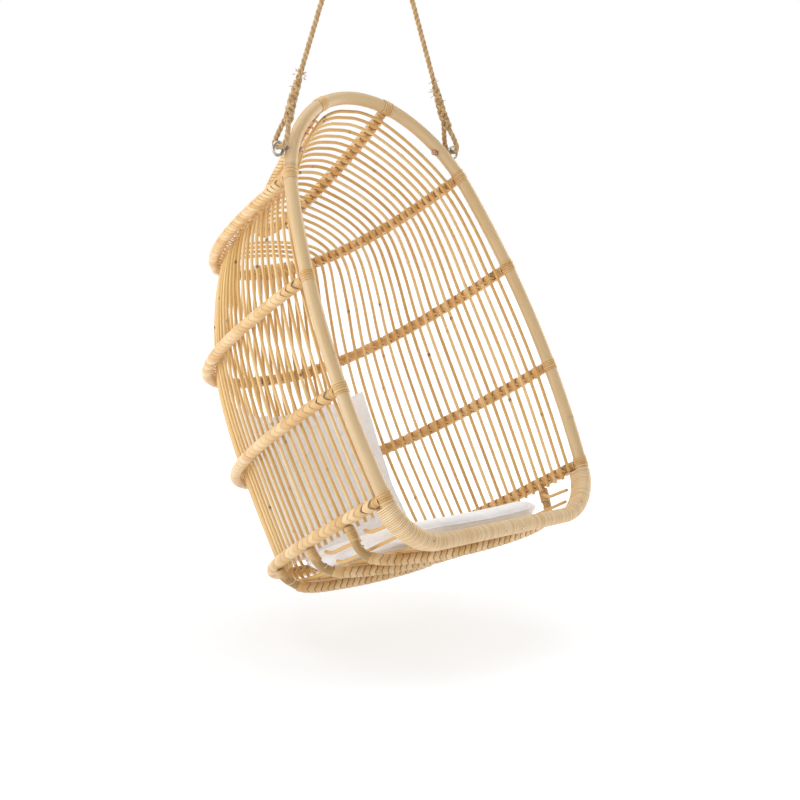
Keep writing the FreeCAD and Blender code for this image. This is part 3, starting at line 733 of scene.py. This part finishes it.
def addStrand(stock, path, frames, offset, radius, lay, phase, hand, tone, pick=slice(None), rise=None):
    # one strand laid round a line; pick takes a part of it, rise scales its distance from the line
    _, normals, others = frames
    along = lengths(path)
    a = hand * 2 * math.pi * along / lay + phase
    far = offset if rise is None else offset * rise
    centres = path + (np.cos(a) * far)[:, None] * normals + (np.sin(a) * far)[:, None] * others
    centres = centres[pick]
    thick = np.full(len(centres), radius, float)
    if rise is not None:
        thick *= np.clip(rise[pick], 0.35, 1.0)
    _, ownNormals, ownOthers = carriedFrames(centres)
    ringAngle = np.linspace(0, 2 * math.pi, 9, endpoint=False)
    # the yarns twist against the lay, and five of them show as lobes
    twist = -hand * 2 * math.pi * along[pick] / (lay * 0.42)
    lobes = 1 + 0.07 * np.cos(5 * (ringAngle[None] + twist[:, None]))
    rings = centres[:, None] + (thick[:, None] * lobes)[..., None] * (
        np.cos(ringAngle)[None, :, None] * ownNormals[:, None]
        + np.sin(ringAngle)[None, :, None] * ownOthers[:, None])
    flat = np.zeros_like(rings)
    turned = ringAngle[None] + twist[:, None]
    flat[..., 0] = radius * np.cos(turned)
    flat[..., 1] = radius * np.sin(turned)
    flat[..., 2] = along[pick][:, None] + phase
    addRings(stock, rings, flat, tone, 0.0)
    return centres


def addFray(stock, root, away, length, count):
    # loose yarn ends that stand out of the splice
    for _ in range(count):
        aim = unit(unit(away) + draw.normal(0, 0.42, 3))
        bend = draw.normal(0, 0.25, 3)
        t = np.linspace(0, 1, 6)[:, None]
        reach = length * draw.uniform(0.5, 1.1)
        line = root + draw.normal(0, 0.0012, 3) + aim * reach * t + bend * reach * t ** 2
        addPole(stock, line, 0.0007, 5, draw.uniform(0.3, 0.7), taper=0.004)


def makeRope(side, mirror):
    points = [(x * mirror, y, z) for x, y, z in rope["route"]]
    path = splineLine("rope" + side, points, 0.0022)
    frames = carriedFrames(path)
    stock = newStock()
    tuck = newStock()
    strandRadius = rope["diameter"] * rope["strandRadius"]
    offset = rope["diameter"] * rope["strandOffset"]
    total = lengths(path)[-1]

    def layStrands(into, line, lineFrames):
        for k in range(rope["strands"]):
            phase = 2 * math.pi * k / rope["strands"]
            addStrand(into, line, lineFrames, offset, strandRadius, rope["lay"], phase, mirror,
                      0.42 + 0.10 * k)

    layStrands(stock, path, frames)
    # the strands' ends, tucked back into the rope beyond each eye
    along = lengths(path)
    eyes = (eyeLength(path, along, 0), eyeLength(path, along, -1))
    for index, (begin, way) in enumerate(((eyes[0], 1), (eyes[1], -1))):
        end = begin + way * rope["spliceLength"]
        low, high = min(begin, end), max(begin, end)
        pick = (along >= low) & (along <= high)
        share = np.clip((along - begin) / (end - begin), 0, 1)
        swell = np.interp(share, *rope["swell"])
        # three strands follow the lay and two cross them
        for k in range(5):
            follows = k < 3
            farOut, thickness, lay = rope["withLay"] if follows else rope["acrossLay"]
            phase = 2 * math.pi * (k / 3 + 0.17 if follows else k / 2)
            centres = addStrand(tuck, path, frames, rope["diameter"] * farOut, strandRadius * thickness,
                                rope["lay"] * lay, phase, mirror if follows else -mirror, 0.30 + 0.12 * k,
                                pick, swell)
            tip = centres[-1] if way > 0 else centres[0]
            nextTo = centres[-3] if way > 0 else centres[2]
            addFray(tuck, tip, unit(tip - nextTo) * 0.7 + unit(tip - atLength(path, end)), 0.012, 4)
        # the rope's end runs on into the splice
        tail, before = (path[0], path[4]) if index == 0 else (path[-1], path[-5])
        ahead = tail + (tail - before) * 1.2
        join = atLength(path, begin + way * 0.034)
        t = np.linspace(0, 1, 20)[:, None]
        line = (1 - t) ** 2 * tail + 2 * t * (1 - t) * ahead + t * t * join
        layStrands(tuck, line, carriedFrames(line))
        for _ in range(rope["frays"]):
            around = draw.normal(0, 1, 3)
            place = atLength(path, begin + way * rope["spliceLength"] * draw.uniform(0.05, 0.95))
            out = unit(np.cross(frames[0][int(begin / total * (len(path) - 1))], around))
            addFray(tuck, place + out * rope["diameter"] * 0.75, out, 0.009, 2)
    makePiece("rope" + side + "Strands", stock, ropeFibre, "ropes", False,
              ["rope_" + side.lower()])
    return tuck, path


def eyeLength(path, along, end):
    # how far along the eye closes, where the loop's two legs meet
    tip = path[end]
    half = len(path) // 2
    part = range(half) if end == 0 else range(half, len(path))
    far = [i for i in part if abs(along[i] - along[end]) > 0.10]
    near = min(far, key=lambda i: np.linalg.norm(path[i] - tip))
    return along[near]


for side, mirror in (("Right", 1), ("Left", -1)):
    tuck, path = makeRope(side, mirror)
    stands = ["rope_splices"] if side == "Right" else []
    spliced = makePiece("rope" + side + "Splices", tuck, ropeFibre, "ropes", False, stands)
print("ropes: two ropes with four splices")


# front hoop

def wholeLine(half):
    # the right half and its mirror image as one line
    return np.vstack([half, (half * [-1, 1, 1])[::-1][1:]])


def makeHoop():
    line = wholeLine(hoopHalf())[:-1]
    stock = newStock()
    knots = spread(hoop["firstKnot"], lengths(line)[-1], hoop["knotSpacing"], 0.2)
    addPole(stock, line, hoop["radius"], 28, 0.55, knots, 0.004, 0.0004, closed=True)
    stock["marksAndShade"] = [values * hoop["knotDarkness"] for values in stock["marksAndShade"]]
    makePiece("hoopPole", stock, poleSkin, "chair", True, ["front_hoop"])


makeHoop()
print("hoop: one bent pole")


# canes

caneLook = {"knotGap": 0.34, "knotSize": 0.0014, "swell": 0.0006, "step": 0.006, "sides": 10}


def addCane(stock, points, tone):
    line = roundedLine(points, caneLook["step"])
    knots = spread(0.02, lengths(line)[-1] - 0.02, caneLook["knotGap"])
    addPole(stock, line, canes["radius"] * draw.uniform(0.94, 1.04), caneLook["sides"], tone, knots,
            caneLook["knotSize"], caneLook["swell"])


def sideCanes():
    # their back ends are turned up
    found = []
    for place, height, begin, end in canes["sideRuns"]:
        points = np.array([[place, begin, height - 0.003], [place + 0.002, (begin + end) / 2, height],
                           [place + 0.001, end - 0.012, height + 0.001],
                           [place + 0.001, end, height + 0.012]])
        found += [points, points * [-1, 1, 1]]
    return found


def makeCanes():
    for cane in range(1, canes["arches"] + 1):
        stock = newStock()
        addCane(stock, canePath(cane), draw.uniform(0.25, 0.75))
        makePiece("archCane%02d" % cane, stock, caneSkin, "chair", True,
                  ["cane_arch_%02d" % cane])
    stock = newStock()
    for cane in range(canes["arches"] + 1, lastCane + 1):
        path = np.array(canePath(cane))
        addCane(stock, path, draw.uniform(0.25, 0.75))
        addCane(stock, path * [-1, 1, 1], draw.uniform(0.25, 0.75))
    makePiece("backCanes", stock, caneSkin, "chair", True, ["centre_back_canes"])
    stock = newStock()
    for points in sideCanes():
        addCane(stock, points, draw.uniform(0.25, 0.6))
    makePiece("sideCanes", stock, caneSkin, "chair", True, ["side_seat_canes"])


makeCanes()
print("canes: 24 arches, the middle of the back and the sides of the seat")


# peel work on the ribs, the seat bars and the hoop

peel = {
    "point": 0.022,         # how far the chevrons run ahead at their points
    "halfTurn": 2.0,        # radians from a point to where its band is level with its place
    "pitches": [0.0115, 0.0125, 0.0185, 0.0235, 0.0225],
    "caneGap": 0.16,        # share of a cane's spacing left open beside it on the inside
    "lashWidth": 0.0038, "lashThickness": 0.0010,
    "braidStart": 0.031,
}
# band section: place across the width, height from the pole out to the band's face, and how much painted
# shade it takes, most down in the groove beside the next band
bandShape = [(-1.0, 0.0, 1.0), (-0.99, 0.30, 1.0), (-0.88, 0.66, 0.3), (-0.60, 0.82, 0.0), (0.0, 0.93, 0.0),
             (0.55, 1.0, 0.0), (0.82, 0.95, 0.0), (0.94, 0.76, 0.3), (0.99, 0.30, 1.0), (1.0, 0.0, 1.0)]


def makeRail(line, outward):
    # a line with its frames: outward is the way that the chevrons' points face
    tangents = unit(np.gradient(line, axis=0))
    outward = np.broadcast_to(outward, line.shape)
    normals = unit(outward - tangents * np.sum(outward * tangents, 1)[:, None])
    return {"s": lengths(line), "centre": line, "normal": normals, "other": np.cross(tangents, normals)}


def onRail(rail, s, angle, radius):
    # places at a length, an angle round the rail and a distance from it
    centre, normal, other = [readAlong(s, rail["s"], rail[key]) for key in ("centre", "normal", "other")]
    around = np.cos(angle)[..., None] * normal + np.sin(angle)[..., None] * other
    return centre + radius[..., None] * around


def addBand(stock, rail, angles, centres, halves, inner, outer, tone, grooveShade=0.8):
    # one turn of flat peel round a pole, from its centre line and half width at each angle
    across = np.array([u for u, _, _ in bandShape])[None, :]
    lift = np.array([h for _, h, _ in bandShape])[None, :]
    s = centres[:, None] + halves[:, None] * across
    radius = inner + (outer[:, None] - inner) * lift
    a = np.broadcast_to(angles[:, None], s.shape)
    rings = onRail(rail, s, a, radius)
    straight = np.zeros_like(rings)
    straight[..., 0] = halves[:, None] * across
    straight[..., 1] = radius - inner
    straight[..., 2] = angles[:, None] * ribs["braidRadius"] + draw.uniform(0, 5)
    # painted shade: the band's edges, down in the groove where it meets the next turn, are darkened by
    # grooveShade
    shade = np.broadcast_to(np.array([d for _, _, d in bandShape])[None, :] * grooveShade, s.shape)
    closed = abs(angles[-1] - angles[0]) > 2 * math.pi * 0.9       # a whole turn
    addRings(stock, rings, straight, tone, shade, closed)


def addChevron(stock, rail, place, half, point, inner, outer, tone, grooveShade=0.8, reach=2.15):
    # a band with its point on the outside; reach is how far round each side it goes, in radians, and
    # grooveShade how much painted shade its edges take
    angles = np.linspace(-reach, reach, 27)
    ahead = point * (1 - np.sqrt(angles ** 2 + 0.004) / peel["halfTurn"])
    face = outer - 0.0010 * np.clip((np.abs(angles) - 1.5) / 0.65, 0, 1) ** 2
    addBand(stock, rail, angles, place + np.maximum(ahead, -0.002), np.full(27, half), inner, face, tone,
            grooveShade)


def addBarrel(stock, rail, place, half, inner, outer, tone):
    # the strands' smooth run across the inside, between two canes, with painted shade at its edges that
    # darkens the gap beside each cane
    angles = np.linspace(math.pi - 1.2, math.pi + 1.2, 15)
    face = outer - 0.0012 * np.abs((angles - math.pi) / 1.2) ** 4
    addBand(stock, rail, angles, np.full(15, place), np.full(15, half), inner, face, tone, 0.5)


def addLashing(stock, rail, mark, tone):
    # a strip of peel that leaves the braid on one side of a cane, crosses over it and goes back in
    far = caneInset + canes["radius"] + 0.0007
    # half of its run: along the rib, up the rib's side, and in from the rib's centre
    run = [(-0.0072, 0.0085, 0.0112), (-0.0052, 0.0060, 0.0165), (-0.0036, 0.0038, far - 0.0028)]
    shape = run + [(0.0, 0.0, far + 0.0003)] + [(-x, -y, d) for x, y, d in reversed(run)]
    base = onRail(rail, np.array([mark]), np.array([0.0]), np.array([0.0]))[0]
    out = onRail(rail, np.array([mark]), np.array([0.0]), np.array([1.0]))[0] - base
    up = onRail(rail, np.array([mark]), np.array([math.pi / 2]), np.array([1.0]))[0] - base
    along = np.cross(out, up)
    line = roundedLine([base + along * x + up * y - out * d for x, y, d in shape], 0.0022)
    tangents = unit(np.gradient(line, axis=0))
    side = unit(np.cross(tangents, -out))
    face = np.cross(side, tangents)
    half, thick = peel["lashWidth"] / 2, peel["lashThickness"]
    section = [(-half, 0), (-half, thick * 0.7), (-half * 0.6, thick),
               (half * 0.6, thick), (half, thick * 0.7), (half, 0)]
    rings = np.stack([line + side * x + face * y for x, y in section], 1)
    straight = np.zeros_like(rings)
    straight[..., 0] = np.array([x for x, _ in section])[None]
    straight[..., 1] = np.array([y for _, y in section])[None]
    straight[..., 2] = lengths(line)[:, None] + draw.uniform(0, 5)
    addRings(stock, rings, straight, tone, 0.0)


def mirrorStock(stock):
    # the left half, with its faces turned to keep them facing out
    verts = np.concatenate(stock["verts"])
    count = stock["count"]
    stock["verts"] = [verts, verts * [-1, 1, 1]]
    for kind in ("straight", "tone", "marksAndShade"):
        values = np.concatenate(stock[kind])
        stock[kind] = [values, values]
    stock["faces"] = stock["faces"] + [[i + count for i in reversed(face)] for face in stock["faces"]]
    stock["count"] = count * 2


def ribOutward(line, level):
    # the way out of the shell at each point of a rib, which is where the chevrons' points face
    inward = unit(np.cross([0, 0, 1.0], np.gradient(line, axis=0)))
    slope = math.radians(ribs["slopes"][level])
    return -inward * math.cos(slope) + np.array([0, 0, math.sin(slope)])


def ribMarks(level):
    # where canes cross the rib's right half, and how many of them are lashed
    last = canes["crownCanes"] + 3 if level == 0 else lastCane
    marks = [crossingShare(cane, level) * ribLengths[level] for cane in range(1, last + 1)]
    return marks, (canes["crownCanes"] if level == 0 else lastCane)


def makeRibBraid(level):
    # chevrons outside, barrels between the canes inside, and lashings over the canes
    line = wholeLine(ribHalves[level])
    rail = makeRail(line, ribOutward(line, level))
    total = ribLengths[level]
    marks, crossings = ribMarks(level)
    stock, inside, lashings = newStock(), newStock(), newStock()
    stops = marks + ([total] if level > 0 else [])
    for i in range(len(stops) - 1):
        spacing = stops[i + 1] - stops[i]
        gap = peel["caneGap"] * spacing
        if stops[i] > peel["braidStart"] - 0.004:
            addBarrel(inside, rail, stops[i] + 0.001 + (spacing - gap) / 2, (spacing - gap) / 2,
                      ribs["poleRadius"] + 0.0002, ribs["braidRadius"] - draw.uniform(0.0006, 0.0010),
                      draw.uniform(0.25, 0.75))
    count = round((total - peel["braidStart"]) / peel["pitches"][level])
    pitch = (total - peel["braidStart"]) / count
    for k in range(count):
        place = peel["braidStart"] + pitch * (k + 0.5)
        point = peel["point"] * min(1.0, (total - place) / 0.05) * min(1.0, 0.3 + place / 0.10)
        addChevron(stock, rail, place, pitch / 2, point, ribs["poleRadius"] + 0.0002,
                   ribs["braidRadius"] + draw.uniform(0.0, 0.0006), draw.uniform(0.25, 0.75))
    for mark in marks[1:crossings]:
        addLashing(lashings, rail, mark, draw.uniform(0.3, 0.7))
    name = "rib%d" % (level + 1)
    stands = ["rib_%d_braid" % (level + 1)]
    for kind, part, skin, replaced in (("Barrels", inside, innerPeel, []),
                                       ("Chevrons", stock, peelSkin, stands),
                                       ("Lashings", lashings, innerPeel, [])):
        mirrorStock(part)
        makePiece(name + kind, part, skin, "chair", True, replaced)


for level in range(5):
    makeRibBraid(level)
print("ribs: chevron braid outside, lashings over the canes inside")


def addTurns(stock, rail, begin, end, pitch, inner, outer, lean, tones):
    # plain turns of peel side by side, each leaning a little, with painted shade in the grooves between
    # them
    turns = max(1, int(round((end - begin) / pitch)))
    width = (end - begin) / turns
    angles = np.linspace(-math.pi, math.pi, 28, endpoint=False)
    for k in range(turns):
        centres = begin + width * (k + 0.5) + lean * np.sin(angles + 0.6)
        face = np.full(len(angles), outer - draw.uniform(0, 0.0003))
        addBand(stock, rail, angles, centres, np.full(len(angles), width / 2 * 0.97), inner, face,
                draw.uniform(*tones))


binding = {"length": 0.027, "turn": 0.0054, "face": 0.0018, "ribFace": 0.0125, "ribTurn": 0.0045}


def makeBindings():
    half = hoopHalf(0.002)
    rail = makeRail(half, [0, -1.0, 0])
    stock = newStock()
    for level in range(5):
        near = np.argmin(np.abs(half[:, 2] - ribs["heights"][level]) + (half[:, 0] < 0.05))
        middle = rail["s"][near]
        reach = binding["length"] / 2
        addTurns(stock, rail, middle - reach, middle + reach, binding["turn"], hoop["radius"] - 0.0006,
                 hoop["radius"] + binding["face"], 0.0008, (0.15, 0.5))
        line = wholeLine(ribHalves[level])
        ribRail = makeRail(line, ribOutward(line, level))
        addTurns(stock, ribRail, 0.0150, peel["braidStart"] + 0.004, binding["ribTurn"],
                 ribs["poleRadius"] - 0.0004, binding["ribFace"], 0.0006, (0.15, 0.5))
    mirrorStock(stock)
    makePiece("ribBindings", stock, peelSkin, "chair", True, ["rib_bindings"])


makeBindings()

railWrap = {"turn": 0.0043, "valley": 0.0004, "crest": 0.0021, "slant": 0.0016,
            # one turn's section: place along it, height and how much painted shade lies in its groove
            "section": [(0.02, 0.0, 0.6), (0.12, 0.75, 0.08), (0.32, 1.0, 0.0),
                        (0.68, 1.0, 0.0), (0.88, 0.75, 0.08), (0.98, 0.0, 0.6)]}


def makeRailWrap():
    # fine turns round the hoop and the front bar together, over the rail and both corners
    top = ribs["heights"][4] - ribs["braidRadius"] - seat["gap"] - 0.001
    half = hoopHalf(0.002)
    half = half[: np.argmax(half[:, 2] > top)]
    line = np.vstack([half[::-1], half[1:] * [-1, 1, 1]])
    along = lengths(line)
    rows, grow, tones = [], [], []
    turns = int(along[-1] / railWrap["turn"])
    for k in range(turns):
        tone = draw.uniform(0.55, 0.95)
        crest = railWrap["crest"] - draw.uniform(0, 0.0003)
        for place, height, _ in railWrap["section"]:
            rows.append((k + place) / turns * along[-1])
            grow.append(railWrap["valley"] + (crest - railWrap["valley"]) * height)
            tones.append(tone)
    rows, grow = np.array(rows), np.array(grow)
    back = hoop["radius"] + seat["frontBarRadius"] + seat["gap"]
    smaller = seat["frontBarRadius"] - hoop["radius"]
    outline = []        # y of the centre, radius, out and across
    for a in np.radians(np.linspace(90, 270, 18)):
        outline.append((0.0, hoop["radius"], math.sin(a), math.cos(a)))
    for t in np.linspace(0, 1, 8)[1:-1]:
        outline.append((back * t, hoop["radius"] + smaller * t, -1.0, 0.0))
    for a in np.radians(np.linspace(-90, 90, 14)):
        outline.append((back, seat["frontBarRadius"], math.sin(a), math.cos(a)))
    for t in np.linspace(1, 0, 8)[1:-1]:
        outline.append((back * t, hoop["radius"] + smaller * t, 1.0, 0.0))
    q = np.linspace(0, 2 * math.pi, len(outline), endpoint=False)
    s = rows[:, None] + railWrap["slant"] * np.sin(q)[None]
    centre = readAlong(s, along, line)
    outs = np.cross(unit(np.gradient(line, axis=0)), [0, 1.0, 0])
    out = unit(readAlong(s, along, outs))
    centreY = np.array([o[0] for o in outline])[None, :, None] * np.array([0, 1.0, 0])
    radius = np.array([o[1] for o in outline])[None, :] + grow[:, None]
    side = np.array([o[2] for o in outline])[None, :, None] * out
    across = np.array([o[3] for o in outline])[None, :, None] * np.array([0, 1.0, 0])
    rings = centre + centreY + radius[..., None] * (side + across)
    straight = np.zeros_like(rings)
    straight[..., 0] = rows[:, None]
    straight[..., 1] = grow[:, None]
    straight[..., 2] = q[None] * 0.022 + np.floor(rows / railWrap["turn"])[:, None] * 0.31
    stock = newStock()
    # dark specks are real marks on the peel; the grooves between turns carry painted shade
    specks = draw.random((turns, len(outline))) > 0.996
    grooveShades = np.tile([dark for _, _, dark in railWrap["section"]], turns)[:, None]
    addRings(stock, rings, straight, np.repeat(np.array(tones)[:, None], len(outline), 1),
             np.maximum(np.repeat(specks, 6, 0) * 0.6, grooveShades))
    makePiece("railWrap", stock, peelSkin, "chair", True, ["front_rail_wrap"])


makeRailWrap()
print("hoop: bindings at the ribs and the wound front rail")


# seat bars

bars = {"turn": 0.0030, "collar": 0.034, "collarFace": 0.0122, "chevron": 0.0190, "face": 0.0135,
        "pointDown": 35.0, "braidStart": [0.085, 0.080, 0.062]}


def barPoints(index):
    # a bar's right half: down from the lowest rib, round the corner and along its sag to the middle
    place, height, bow = seat["barPlaces"][index], seat["barHeights"][index], seat["barBows"][index]
    x = barEnd(index)
    corner = x - seat["barCorner"]
    top = ribs["heights"][4] - ribs["braidRadius"] - seat["gap"] - ribs["poleRadius"] * 0.1
    inward, up = seat["barShoulder"]
    right = [(x, place, top), (x - inward, place, height + up), (corner, place, height + bow),
             (corner / 2, place, height + bow / 4)]
    return [np.array(p) for p in right] + [np.array([0.0, place, height])]


def makeBars():
    collars = newStock()
    for index in range(3):
        half = barPoints(index)
        line = roundedLine(half + [p * [-1, 1, 1] for p in reversed(half[:-1])], 0.003)
        down = math.radians(bars["pointDown"])
        rail = makeRail(line, [0, -math.cos(down), -math.sin(down)])
        total = rail["s"][-1]
        collar = bars["collar"] * (1.0 if index < 2 else 0.7)
        under = ribs["poleRadius"] - 0.0004
        addTurns(collars, rail, 0.001, collar, bars["turn"], under, bars["collarFace"], 0.0006, (0.2, 0.55))
        # one loose turn where the braid's end is tucked in
        addTurns(collars, rail, collar + 0.014, collar + 0.0166, bars["turn"], under,
                 ribs["poleRadius"] + 0.0012, 0.005, (0.5, 0.8))
        braid = newStock()
        begin = bars["braidStart"][index]
        count = int((total - 2 * begin) / bars["chevron"])
        pitch = (total - 2 * begin) / count
        for k in range(count):
            place = begin + pitch * (k + 0.5)
            point = peel["point"] * min(1.0, (total - begin - place) / 0.03)
            # the first and last chevrons take little painted groove shade, the rest the usual amount
            addChevron(braid, rail, place, pitch / 2, point, ribs["poleRadius"] + 0.0003,
                       bars["face"] - draw.uniform(0, 0.0004), draw.uniform(0.2, 0.7),
                       0.1 if k in (0, count - 1) else 0.8, 2.9)
        makePiece("seatBar%dChevrons" % (index + 1), braid, peelSkin, "chair", True,
                  ["seat_bar_%d_braid" % (index + 1)])
    mirrorStock(collars)
    makePiece("seatBarCollars", collars, peelSkin, "chair", True, ["seat_bar_wraps"])


makeBars()
print("seat: three bars with collars and chevrons")


# the frame's own parts that stay, with their finish

def paintParts(material, names):
    # one finish over the whole of each part
    for name in names:
        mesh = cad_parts[name].data
        mesh.materials.clear()
        mesh.materials.append(material)
        mesh.polygons.foreach_set("material_index", [0] * len(mesh.polygons))


paintParts(poleSkinFrame, ["front_seat_bar"] + ["rib_%d" % n for n in range(1, 6)]
           + ["seat_bar_%d" % n for n in range(1, 4)])
paintParts(zincSteel, ["eye_bolt_left", "eye_bolt_right", "bolt_washers", "hanging_ring", "ceiling_hook"])
paintParts(copperSteel, ["cap_nuts"])


# the hook's thread, in place of its plain shank's skin

thread = {"pitch": 0.0028, "root": 0.0036, "crest": 0.0048, "halfWidth": 0.0008,
          "from": 0.0035, "to": 0.0285}


def makeThread():
    turns = (thread["to"] - thread["from"]) / thread["pitch"]
    a = np.linspace(0, 2 * math.pi * turns, int(turns * 24))
    rise = thread["from"] + (thread["to"] - thread["from"]) * a / a[-1]
    fade = np.clip(np.minimum(a, a[-1] - a) / math.pi, 0.05, 1)
    crest = thread["root"] + (thread["crest"] - thread["root"]) * fade
    around = np.stack([np.cos(a), np.sin(a), 0 * a], 1)
    up = np.array([0, 0, 1.0])
    rings = np.stack([around * thread["root"] + (rise - thread["halfWidth"])[:, None] * up,
                      around * crest[:, None] + rise[:, None] * up,
                      around * thread["root"] + (rise + thread["halfWidth"])[:, None] * up], 1)
    stock = newStock()
    addRings(stock, rings, rings.copy(), 0.5, 0.0)
    makePiece("hookThread", stock, zincSteel, "hook", False)


makeThread()
print("steel: eye bolts, washers, nuts, ring and threaded hook")


# cushions: each cover is filled by a cloth simulation, then its seam is laid on

pads = {    # inset: cover's start inside its space; most: how far each face may swell; facing: its top side
    "seatPad": {"node": "seat_cushion", "voxel": 0.006, "inset": 0.005, "pressure": 4.0,
                "most": 0.012, "least": 0.0045, "facing": (0.0, 0.36, 0.93), "fill": 0.75},
    "backPad": {"node": "back_cushion", "voxel": 0.006, "inset": 0.006, "pressure": 4.0,
                "most": 0.012, "least": 0.005, "facing": (0.0, -0.88, 0.47), "fill": 0.65},
}
clothFrames = 20
seam = {
    "radius": 0.0017, "rise": 0.0004, "halfThickness": 0.022,
    "seatHalf": (0.246, 0.237), "seatMiddle": 0.261, "seatFullness": 3.1, "seatGap": 0.004,
    "backHeights": (0.097, 0.500), "backHalf": 0.222, "backGap": 0.0045,
}


def evaluated(piece):
    # a copy of the piece's mesh with its modifiers applied
    bpy.context.view_layer.update()
    return bpy.data.meshes.new_from_object(piece.evaluated_get(bpy.context.evaluated_depsgraph_get()))


def readEach(mesh, what):
    # each vertex's place ("co") or normal
    flat = np.empty(len(mesh.vertices) * 3, np.float32)
    mesh.vertices.foreach_get(what, flat)
    return flat.reshape(-1, 3).astype(float)


def fillCover(piece, spec):
    # blow up the cover and keep each point's movement within its limit
    cloth = piece.modifiers.new("fill", "CLOTH")
    cloth.settings.quality = 5
    cloth.settings.mass = 0.3
    cloth.settings.use_pressure = True
    cloth.settings.uniform_pressure_force = spec["pressure"]
    cloth.settings.effector_weights.gravity = 0.0
    cloth.collision_settings.use_collision = False
    cloth.point_cache.frame_start = 1
    cloth.point_cache.frame_end = clothFrames
    before = readEach(piece.data, "co")
    up = readEach(piece.data, "normal") @ np.array(spec["facing"])
    for step in range(1, clothFrames + 1):
        bpy.context.scene.frame_set(step)
    moved = readEach(evaluated(piece), "co") - before
    bpy.context.scene.frame_set(1)
    piece.modifiers.remove(cloth)
    far = np.linalg.norm(moved, axis=1) + 1e-9
    limit = spec["least"] + (spec["most"] - spec["least"]) * np.clip(up, 0, 1)
    kept = limit * np.tanh(far / (2.2 * limit))
    print("  cover moved up to %.1f mm, kept up to %.1f mm" % (far.max() * 1000, kept.max() * 1000))
    piece.data.vertices.foreach_set("co", (before + moved * (kept / far)[:, None]).ravel())
    piece.data.update()


def makePad(name):
    # the cushion's own space, evenly meshed and shrunk a little, then filled
    spec = pads[name]
    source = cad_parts[spec["node"]]
    mesh = source.data.copy()
    mesh.transform(source.matrix_world)
    piece = bpy.data.objects.new(name, mesh)
    bpy.context.scene.collection.objects.link(piece)
    remesh = piece.modifiers.new("even", "REMESH")
    remesh.mode = "VOXEL"
    remesh.voxel_size = spec["voxel"]
    even = evaluated(piece)
    piece.modifiers.remove(remesh)
    shrunk = readEach(even, "co") - readEach(even, "normal") * spec["inset"]
    even.vertices.foreach_set("co", shrunk.ravel())
    even.update()
    piece.data = even
    fillCover(piece, spec)
    smooth = piece.modifiers.new("round", "SUBSURF")
    smooth.levels = 1
    final = evaluated(piece)
    piece.modifiers.remove(smooth)
    piece.data = final
    final.name = name
    final.materials.clear()
    final.materials.append(canvas)
    final.polygons.foreach_set("use_smooth", [True] * len(final.polygons))
    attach(piece, "cushions")
    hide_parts(spec["node"])
    return final


def squared(values, fullness):
    # a sine or cosine drawn out towards a square corner
    return np.sign(values) * np.abs(values) ** (2 / fullness)


def seatSeam():
    a = np.linspace(0, 2 * math.pi, 260, endpoint=False)
    places, rises = seat["barPlaces"], seat["barHeights"]
    x = seam["seatHalf"][0] * squared(np.cos(a), seam["seatFullness"])
    y = seam["seatMiddle"] + seam["seatHalf"][1] * squared(np.sin(a), seam["seatFullness"]) - places[0]
    z = np.array([barRise(1, v) for v in x]) + seam["halfThickness"]
    slope = math.atan2(rises[2] - rises[0], places[2] - places[0])
    lift = rises[0] + caneInset + canes["radius"] + seam["seatGap"] + seat["barLift"]
    return leanBack(np.stack([x, places[0] + y * math.cos(slope) - z * math.sin(slope),
                              y * math.sin(slope) + z * math.cos(slope) + lift], 1))


def backSeam():
    # round the pad's edge, half way through its thickness
    inset = caneInset + canes["radius"] + seam["backGap"] + seam["halfThickness"]
    rows = []
    for height in np.linspace(*seam["backHeights"], 60):
        low, high = (4, 3) if height <= ribs["heights"][3] else (3, 2)
        share = (height - ribs["heights"][low]) / (ribs["heights"][high] - ribs["heights"][low])
        deep = ribs["depths"][low] + (ribs["depths"][high] - ribs["depths"][low]) * share - inset
        full = ribs["fullness"][low] + (ribs["fullness"][high] - ribs["fullness"][low]) * share
        wide = hoopHalfWidth(height) - inset
        end = math.acos((seam["backHalf"] / wide) ** (full / 2))
        a = np.linspace(end, math.pi - end, 90)
        rows.append(np.stack([wide * squared(np.cos(a), full), deep * squared(np.sin(a), full),
                              np.full(90, height)], 1))
    edge = [rows[0], np.array([r[-1] for r in rows[1:-1]]), rows[-1][::-1],
            np.array([r[0] for r in rows[1:-1]])[::-1]]
    return leanBack(np.vstack(edge))


def makeSeam(name, mesh, wanted):
    # a thin welt that lies on the cover along the wanted line
    tree = BVHTree.FromPolygons([v.co for v in mesh.vertices], [p.vertices for p in mesh.polygons])
    found = []
    for point in wanted:
        place, normal, _, _ = tree.find_nearest(Vector(point))
        found.append(np.array(place) + np.array(normal) * seam["rise"])
    found = np.array(found)
    for _ in range(6):      # smoothed a little
        found = (np.roll(found, 1, 0) + found * 2 + np.roll(found, -1, 0)) / 4
    ringed = np.vstack([found, found[:1]])
    line = atLength(ringed, np.linspace(0, lengths(ringed)[-1], 500)[:-1])
    stock = newStock()
    addPole(stock, line, seam["radius"], 8, 0.5, closed=True)
    makePiece(name, stock, canvas, "cushions", False)


makeSeam("seatPadWelt", makePad("seatPad"), seatSeam())
makeSeam("backPadWelt", makePad("backPad"), backSeam())
print("cushions: seat and back, filled and seamed")
